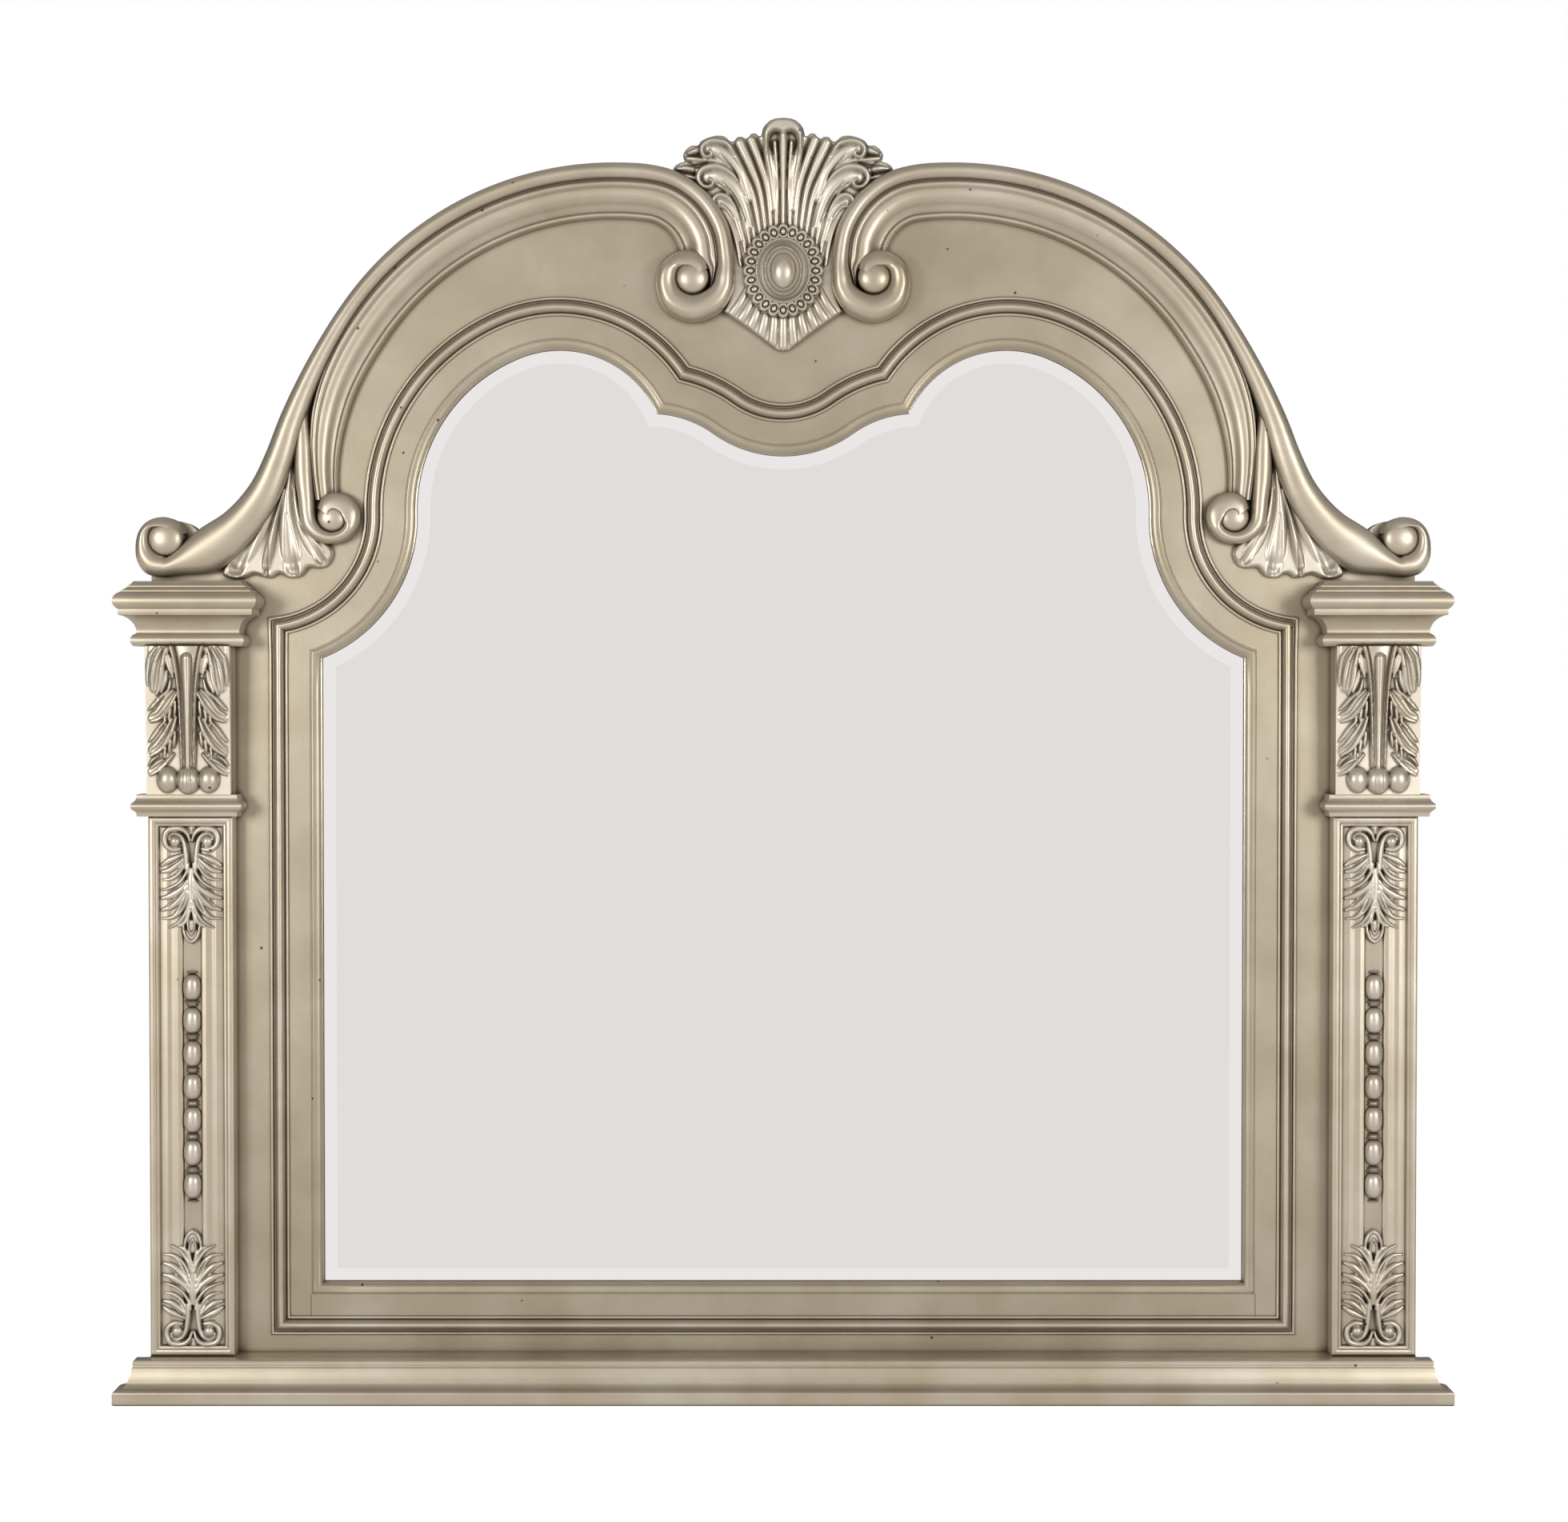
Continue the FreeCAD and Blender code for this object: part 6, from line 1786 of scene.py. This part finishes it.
@dataclass
class Acanthus(Part):
    """Acanthus leaf of the pilaster, as strokes from its scrolls at z 0 down to its bud."""

    body: tuple[Stroke, ...] = (
        # outer band of the scroll, its inner hook, and the stem
        two((1.2, -14, 1.4, 5), (3.2, -8, 2, 6), (8, -3.4, 2.8, 6.4), (15, -2.6, 3, 6.2), (22, -4.6, 3, 6),
            (25, -11, 2.8, 5.6), (23.6, -18.4, 2.6, 5.4), (17.6, -22.4, 2.6, 5.4), (11, -22, 2.2, 5)),
        two((4.4, -40, 2.2, 6), (4.8, -28, 2.6, 6.4), (6.6, -16, 2.4, 6.4), (10, -9.4, 2, 6.2), (15.4, -7.4, 1.6, 6),
            (19.8, -9.4, 1.3, 5.6), (20.8, -13.2, 1, 5)),
        two((15.2, -14.6, 4.9, 7.4), (15, -14.9, 4.9, 7.4)),
        # first tier
        two((6.5, -27, 1.6, 4), (14, -30, 2.8, 4.6), (22, -33.4, 3, 4.4), (27.6, -37.4, 1.8, 3)),
        two((7, -31, 1.6, 4), (13, -36.4, 2.6, 5), (20, -41.6, 2.8, 4.8), (27, -43.4, 1.9, 3.4)),
        two((5.6, -33, 1.6, 4), (9, -40, 2.5, 5), (14, -47, 2.5, 4.8), (20, -50.4, 1.8, 4), (26.6, -51, 1.3, 3)),
        two((2.6, -36, 1.9, 6.2), (3.4, -42, 1.8, 6), (8, -50, 1.8, 5.6), (14, -55.6, 1.8, 5.2), (21, -59, 1.6, 4.6),
            (27.6, -60.6, 1.2, 3.4)),
        # second tier
        one((0, -41, 1.8, 5), (0, -51, 4.4, 6.6), (0, -63, 3.8, 6), (0, -77, 2.2, 5.4)),
        two((3.6, -52, 2.2, 5.6), (10, -60, 3.3, 5.4), (18.6, -65.6, 3.3, 5), (27.4, -68.4, 1.8, 3.2)),
        two((3.6, -57, 2.2, 5.6), (10, -67, 3.3, 5.6), (18, -75.4, 3.4, 5.2), (27, -79.4, 1.9, 3.4)),
        two((2.8, -62, 2, 5.6), (7, -73, 3, 5.6), (12.6, -82, 3, 5.2), (18.6, -86.6, 2, 4.4), (26.6, -87.6, 1.4, 3)),
        two((1.2, -71, 1.7, 6), (4.2, -80, 1.8, 5.8), (9.6, -88.6, 1.8, 5.4), (15, -93.4, 1.6, 4.8),
            (21, -96, 1.2, 3.6)),
        # third tier and the bud
        two((1.2, -77, 1.6, 5.6), (3.8, -87, 2.1, 5.4), (7.6, -92.4, 2, 4.8), (12.2, -95, 1.4, 3.8)),
        two((7.6, -93, 1.2, 4.4), (7, -100, 1.6, 4.8), (4.2, -106.6, 1.8, 5), (0, -109.6, 1.9, 5)),
        two((0.6, -80, 0.9, 5), (3, -90, 1.2, 5.4), (2.8, -97, 1.2, 5.4), (0, -102.6, 1.2, 5.2)),
        one((0, -92, 3.4, 2.6), (0, -102, 5, 2.4), (0, -106, 3.4, 2.2)),
        one((0, -2, 4, 4.4), (0, -7, 2, 4), tool=Tool.RIDGE),
    )
    slits: tuple[Stroke, ...] = (
        slit((8, -28.6, 0.7, 1.6), (14.6, -34, 1.2, 3.2), (20.6, -38.8, 0.7, 2)),
        slit((7.4, -35.4, 0.7, 1.6), (11.4, -42, 1.1, 2.8), (16, -46.6, 0.7, 1.8)),
        slit((6.4, -60.4, 0.7, 1.6), (14, -68.8, 1.2, 3.2), (21.6, -76, 0.7, 2)),
        slit((4.2, -64.4, 0.7, 1.6), (7.6, -74, 1.1, 3), (11.8, -81, 0.7, 2)),
        slit((3, -46, 0.6, 1.2), (7.6, -54.4, 0.9, 2.4), (14, -60, 0.6, 1.6)),
    )
    panel: float = 16.8
    sink: float = 2.0
    high: float = 541.0
    low: float = 48.0
    half: float = 30.0
    length: float = 112.0
    cell: float = 0.5

    def build(self) -> None:
        """Make the leaf at the top of each pilaster and, upside down, the one at its foot."""
        shop, looks = self.shop, self.looks
        for name, base, way in (("upper_leaf", self.high, 1.0), ("lower_leaf", self.low, -1.0)):
            work = Relief((-self.half, -self.length), (self.half, 0.6), self.cell, self.panel - self.sink, 1.16, 0.8)
            work.carve(self.body + self.slits, self.panel)
            work.soften()
            keep = work.corners(work.h).min(0) > self.panel - 0.8 * self.sink
            work.x, work.z = shop.levels.pilaster_x + work.x, base + way * work.z
            verts, faces, hollow = work.close(shop, self.panel - self.sink - 1.0, keep, 2.0, 3.6)
            shop.pair(name, verts, outward(verts, faces), looks.carved, "champagne_resin", (name,), hollow)


@dataclass
class Corbel(Part):
    """Console: hollow front, fluted spine, an acanthus leaf each side of it, and three balls below."""

    spine: tuple[Stroke, ...] = (
        one((0, 127.6, 5.6, 9), (0, 114, 5.2, 8.4), (0, 86, 4, 7.6), (0, 26, 2.9, 6.2)),
        two((14.6, 138.6, 2.2, 7), (11.6, 126, 2, 7.6), (8.8, 106, 1.7, 7.6), (7.2, 82, 1.5, 7), (5.4, 26, 1.3, 6)),
        one((0, 138, 11, 3.4), (0, 110, 7.6, 4.4), (0, 28, 5, 4.4)),
    )
    leaf: tuple[Stroke, ...] = (
        two((18.6, 136, 3, 4.4), (18.4, 133.4, 2.4, 4)),
        two((18, 131, 1.8, 3.6), (15.6, 121.5, 3.6, 4.8), (13.4, 110.5, 1.2, 3), tool=Tool.GOUGE),
        two((28, 136, 8.5, 1.9), (29.6, 118, 7.6, 2.1), (31, 100, 4.6, 1.7)),
        two((13, 95, 4, 1.7), (22, 82, 7.4, 2.1), (33, 72, 4.6, 1.7)),
        two((13, 68, 4, 1.7), (22, 54, 7.6, 2.1), (33, 42, 4.8, 1.7)),
        two((17, 37, 3.6, 1.4), (27, 28, 5.4, 1.8), (35, 22, 3.2, 1.3)),
        two((9.6, 113.6, 1.3, 3), (9.7, 113.3, 1.3, 3)),
        two((9.8, 109.4, 1.4, 3), (9.9, 109.1, 1.4, 3)),
        two((9.4, 104.4, 1.6, 3), (9.5, 104.1, 1.6, 3)),
        # upper tier
        two((20.6, 134, 1.6, 4.6), (23, 120, 2.8, 5.2), (24.8, 106, 2.8, 5), (28.6, 94, 1.4, 3.4)),
        two((23.6, 136.6, 1.6, 4.6), (29.4, 124.6, 2.6, 5), (32.2, 110, 2.7, 4.8), (32.6, 98, 1.4, 3.2)),
        two((28.6, 137.6, 1.6, 4.4), (34.8, 128, 2.3, 4.6), (37, 114, 2, 4), (37, 103, 1.1, 2.8)),
        two((19, 116, 1.4, 3.8), (20.4, 106, 2.3, 4.6), (24.4, 96, 1.4, 3.4)),
        two((15.6, 108, 1.2, 3.4), (17, 100, 1.9, 4.2), (20.6, 92.6, 1.1, 3)),
        # second tier
        two((8.6, 97, 1.6, 4.2), (16.6, 82.4, 2.5, 5.2), (25.6, 72.4, 2.4, 4.8), (34.2, 68.6, 1.4, 3.4)),
        two((13, 98, 1.4, 4.2), (21.4, 89, 2.2, 4.8), (29, 78.6, 2.2, 4.4), (35, 74.6, 1.2, 3)),
        two((18.6, 97, 1.3, 4), (26.4, 90, 2, 4.4), (33.4, 82.4, 1.8, 3.8), (36.6, 79.6, 1, 2.8)),
        two((11, 87, 1.4, 4), (11.6, 79, 2, 4.2), (12.4, 73, 1.1, 3)),
        two((15.6, 79.6, 1.4, 4), (17.2, 73, 1.9, 4.2), (17, 67.6, 1, 3)),
        two((20.4, 74, 1.4, 3.8), (21.6, 69, 1.6, 3.8), (20.6, 64.6, 1, 2.8)),
        # third tier
        two((10.4, 72.6, 1.6, 4.2), (15.6, 57.6, 2.6, 5.2), (24.2, 44.4, 2.5, 4.8), (34.6, 36.4, 1.4, 3.4)),
        two((14.6, 71, 1.4, 4.2), (21.4, 58.6, 2.3, 4.8), (29.6, 48, 2.2, 4.4), (36, 42, 1.2, 3)),
        two((20.6, 69.6, 1.4, 4), (27.6, 61.4, 2.1, 4.4), (33.4, 53.4, 1.9, 3.8), (36.6, 50, 1, 2.8)),
        two((11.6, 58.6, 1.4, 4), (12.6, 50, 2, 4.2), (13.4, 44.4, 1, 3)),
        two((16, 51, 1.4, 4), (17.2, 43.6, 1.9, 4.2), (17.2, 37.6, 1, 3)),
        two((21, 44, 1.4, 3.8), (22, 37.6, 1.7, 3.8), (21.6, 33, 1, 2.8)),
        # lowest tier
        two((13.6, 38, 1.4, 3.8), (20.6, 30, 2.2, 4.4), (28.6, 22.6, 2.1, 4), (35.6, 18.6, 1.2, 2.8)),
        two((21, 34, 1.3, 3.6), (28, 30.4, 2.1, 4.2), (35, 25, 1.3, 3)),
        two((28, 36.4, 1.3, 3.6), (33.4, 32.4, 1.7, 3.8), (37, 27.6, 1, 2.8)),
    )
    reeds: tuple[Stroke, ...] = (
        slit((3.6, 24.6, 0.5, 1.2), (4.2, 13.6, 0.6, 1.4), (3.6, 2.4, 0.5, 1.2)),
        slit((0, 25, 0.5, 1.2), (0, 13.6, 0.6, 1.4), (0, 2.4, 0.5, 1.2), twin=False),
    )
    half: float = 39.5
    cell: float = 0.5
    low_h: float = 30.0
    high_h: float = 35.2
    foot: float = 28.0
    balls: tuple[tuple[float, float, float, float, float], ...] = ((0, 13.6, 11.2, 12.8, 9.6),
        (19.2, 14, 10, 12.2, 8.8), (-19.2, 14, 10, 12.2, 8.8))

    def build(self) -> None:
        """Make both corbels."""
        shop, looks = self.shop, self.looks
        at = shop.levels
        height = at.capital_bottom - at.corbel_bottom
        work = Relief((-self.half, 0.0), (self.half, height), self.cell, 0.0, 1.04, 0.9)
        climb = np.clip((work.z - self.foot) / (height - self.foot), 0, 1)
        ground = self.low_h + (self.high_h - self.low_h) * climb ** 1.7
        veins = tuple(stroke.vein() for stroke in self.leaf if len(stroke.points) == 4)
        work.carve(self.leaf + veins + self.spine)
        for x, z, wide, tall, rise in self.balls:
            share = ((work.x - x) / wide) ** 2 + ((work.z - z) / tall) ** 2
            work.h = np.maximum(work.h, rise * np.sqrt(np.maximum(1 - share, 0.0)))
        work.carve(self.reeds)
        work.h += ground
        work.soften()
        work.x, work.z = at.pilaster_x + work.x, at.corbel_bottom + work.z
        verts, faces, hollow = work.close(shop, at.pilaster_h, None, 2.0, 2.8)
        shop.pair("corbel", verts, outward(verts, faces), looks.carved, "champagne_resin", ("corbel",), hollow)


@dataclass
class Boards(Part):
    """Frame boards and what is behind the glass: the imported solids, finished."""

    painted: tuple[str, ...] = ("crown_board", "stile_board_left", "stile_board_right", "bottom_rail_board",
                                "pier_left", "pier_right", "capital_core_left", "capital_core_right",
                                "plinth_core")
    raw: tuple[str, ...] = ("glass_strip_top_left", "glass_strip_top_right", "glass_strip_side_left",
                            "glass_strip_side_right", "glass_strip_bottom", "frame_dowels")

    def build(self) -> None:
        """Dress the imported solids."""
        looks = self.looks
        # painted boards take the darker copy of the paint, which is painted shade
        table = {node: looks.flat for node in self.painted} | {node: looks.poplar for node in self.raw}
        table |= {"backing_board": looks.fibreboard, "backing_screws": looks.steel, "support_inserts": looks.brass}
        for node, material in table.items():
            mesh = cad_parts[node].data
            mesh.materials.clear()
            mesh.materials.append(material)
            log.info("node %s: %s", node, material.name)


@dataclass
class Studio:
    """Plain pale floor and world, two large soft lamps, and the camera at the photograph's angle."""

    distance: float = 2.9
    eye_z: float = 0.6673
    pitch: float = 1.3
    lens: float = 70.31
    floor_size: float = 12.0
    lamp_size: float = 0.9
    lamp_distance: float = 3.2
    lamp_watts: float = 37.0
    lamp_side: float = 36.0
    lamp_lift: float = 5.0
    sky: float = 0.5
    floor_glow: float = 0.62
    dim: float = 0.16
    dim_from: float = -0.5
    dim_to: float = -0.93
    overhead: float = 0.5
    over_from: float = 0.15
    over_to: float = 0.8
    # colours of the floor, of the sky's light, and of the studio in the glass and in the paint
    ground: str = "#F4F3F1"
    light: str = "#F4F2EF"
    reflected: str = "#EAE6E6"
    aside: float = 0.0008

    def build(self, shop: Workshop) -> None:
        """Make floor, world, lamps and camera.

        Args:
            shop: The workshop.
        """
        self.floor()
        self.world()
        for side in (-1, 1):
            self.lamp(side)
        data = bpy.data.cameras.new("camera")
        data.lens = self.lens
        data.sensor_width = 36.0
        camera = bpy.data.objects.new("camera", data)
        camera.location = (self.aside, shop.levels.field_y * MM - self.distance, self.eye_z)
        camera.rotation_euler = (math.radians(90.0 - self.pitch), 0.0, 0.0)
        bpy.context.scene.collection.objects.link(camera)
        bpy.context.scene.camera = camera
        bpy.context.scene.view_settings.view_transform = "Standard"

    def floor(self) -> None:
        """Lay the floor: white to the camera and in reflections, pale grey to the light."""
        half = self.floor_size / 2
        mesh = bpy.data.meshes.new("floor")
        mesh.from_pydata([(-half, -half, 0), (half, -half, 0), (half, half, 0), (-half, half, 0)], [], [[0, 1, 2, 3]])
        material = bpy.data.materials.new("studio_floor")
        tree = fresh(material)
        path = add(tree, "ShaderNodeLightPath")
        shade = add(tree, "ShaderNodeBsdfDiffuse", {"Color": linear(self.ground)})
        glow = add(tree, "ShaderNodeEmission", {"Color": linear("#FFFFFF"), "Strength": self.floor_glow})
        lit = add(tree, "ShaderNodeAddShader", {0: shade.outputs[0], 1: glow.outputs[0]})
        shown = add(tree, "ShaderNodeEmission", {"Color": linear(self.reflected), "Strength": 1.0})
        soft = add(tree, "ShaderNodeMixShader", {0: path.outputs["Is Camera Ray"], 1: shade.outputs[0],
                                                 2: lit.outputs[0]})
        last = add(tree, "ShaderNodeMixShader", {0: path.outputs["Is Glossy Ray"], 1: soft.outputs[0],
                                                 2: shown.outputs[0]})
        add(tree, "ShaderNodeOutputMaterial", {"Surface": last.outputs[0]})
        mesh.materials.append(material)
        obj = bpy.data.objects.new("floor", mesh)
        bpy.context.scene.collection.objects.link(obj)

    def world(self) -> None:
        """Set a neutral world that the camera and the mirror see as a white studio."""
        world = bpy.data.worlds.new("studio")
        bpy.context.scene.world = world
        tree = fresh(world)
        path = add(tree, "ShaderNodeLightPath")
        dim = add(tree, "ShaderNodeBackground", {"Color": linear(self.light), "Strength": self.sky})
        seen = add(tree, "ShaderNodeBackground", {"Color": linear("#FFFFFF"), "Strength": 1.0})
        way = add(tree, "ShaderNodeTexCoord")
        axis = add(tree, "ShaderNodeSeparateXYZ", {0: way.outputs["Generated"]})
        ahead = add(tree, "ShaderNodeMapRange", {"Value": axis.outputs["Y"], "From Min": self.dim_from,
                                                 "From Max": self.dim_to, "To Min": self.dim},
                    interpolation_type="SMOOTHSTEP")
        above = add(tree, "ShaderNodeMapRange", {"Value": axis.outputs["Z"], "From Min": self.over_from,
                                                 "From Max": self.over_to, "To Max": self.overhead},
                    interpolation_type="SMOOTHSTEP")
        power = add(tree, "ShaderNodeMath", {0: ahead.outputs[0], 1: above.outputs[0]}, operation="MAXIMUM")
        glossy = add(tree, "ShaderNodeBackground", {"Color": linear(self.reflected), "Strength": power.outputs[0]})
        first = add(tree, "ShaderNodeMixShader", {0: path.outputs["Is Glossy Ray"], 1: dim.outputs[0],
                                                  2: glossy.outputs[0]})
        last = add(tree, "ShaderNodeMixShader", {0: path.outputs["Is Camera Ray"], 1: first.outputs[0],
                                                 2: seen.outputs[0]})
        add(tree, "ShaderNodeOutputWorld", {"Surface": last.outputs[0]})

    def lamp(self, side: int) -> None:
        """Hang one soft lamp in front of the object.

        Args:
            side: -1 for the left, 1 for the right.
        """
        data = bpy.data.lights.new(f"softbox_{'left' if side < 0 else 'right'}", "AREA")
        data.size = self.lamp_size
        data.energy = self.lamp_watts
        obj = bpy.data.objects.new(data.name, data)
        turn, lift = math.radians(side * self.lamp_side), math.radians(self.lamp_lift)
        aim = Vector((0.0, 0.0, self.eye_z))
        way = Vector((math.sin(turn) * math.cos(lift), -math.cos(turn) * math.cos(lift), math.sin(lift)))
        obj.location = aim + way * self.lamp_distance
        obj.rotation_euler = (-way).to_track_quat("-Z", "Y").to_euler()
        bpy.context.scene.collection.objects.link(obj)


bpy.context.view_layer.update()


def main() -> None:
    """Build the mirror, piece by piece, and the studio round it."""
    logging.basicConfig(level=logging.INFO, format="%(message)s")
    shop = Workshop(Levels.read())
    looks = Finishes()
    for part in (Boards, MirrorPlate, GlassFrame, ArchMoulding, Blocks, Pilaster, PearlString, ShellFan, Crest,
                 Acanthus, Corbel):
        part(shop, looks).build()
    Studio().build(shop)
    log.info("%d pieces made", len(shop.made))


if __name__ == "__main__":
    main()
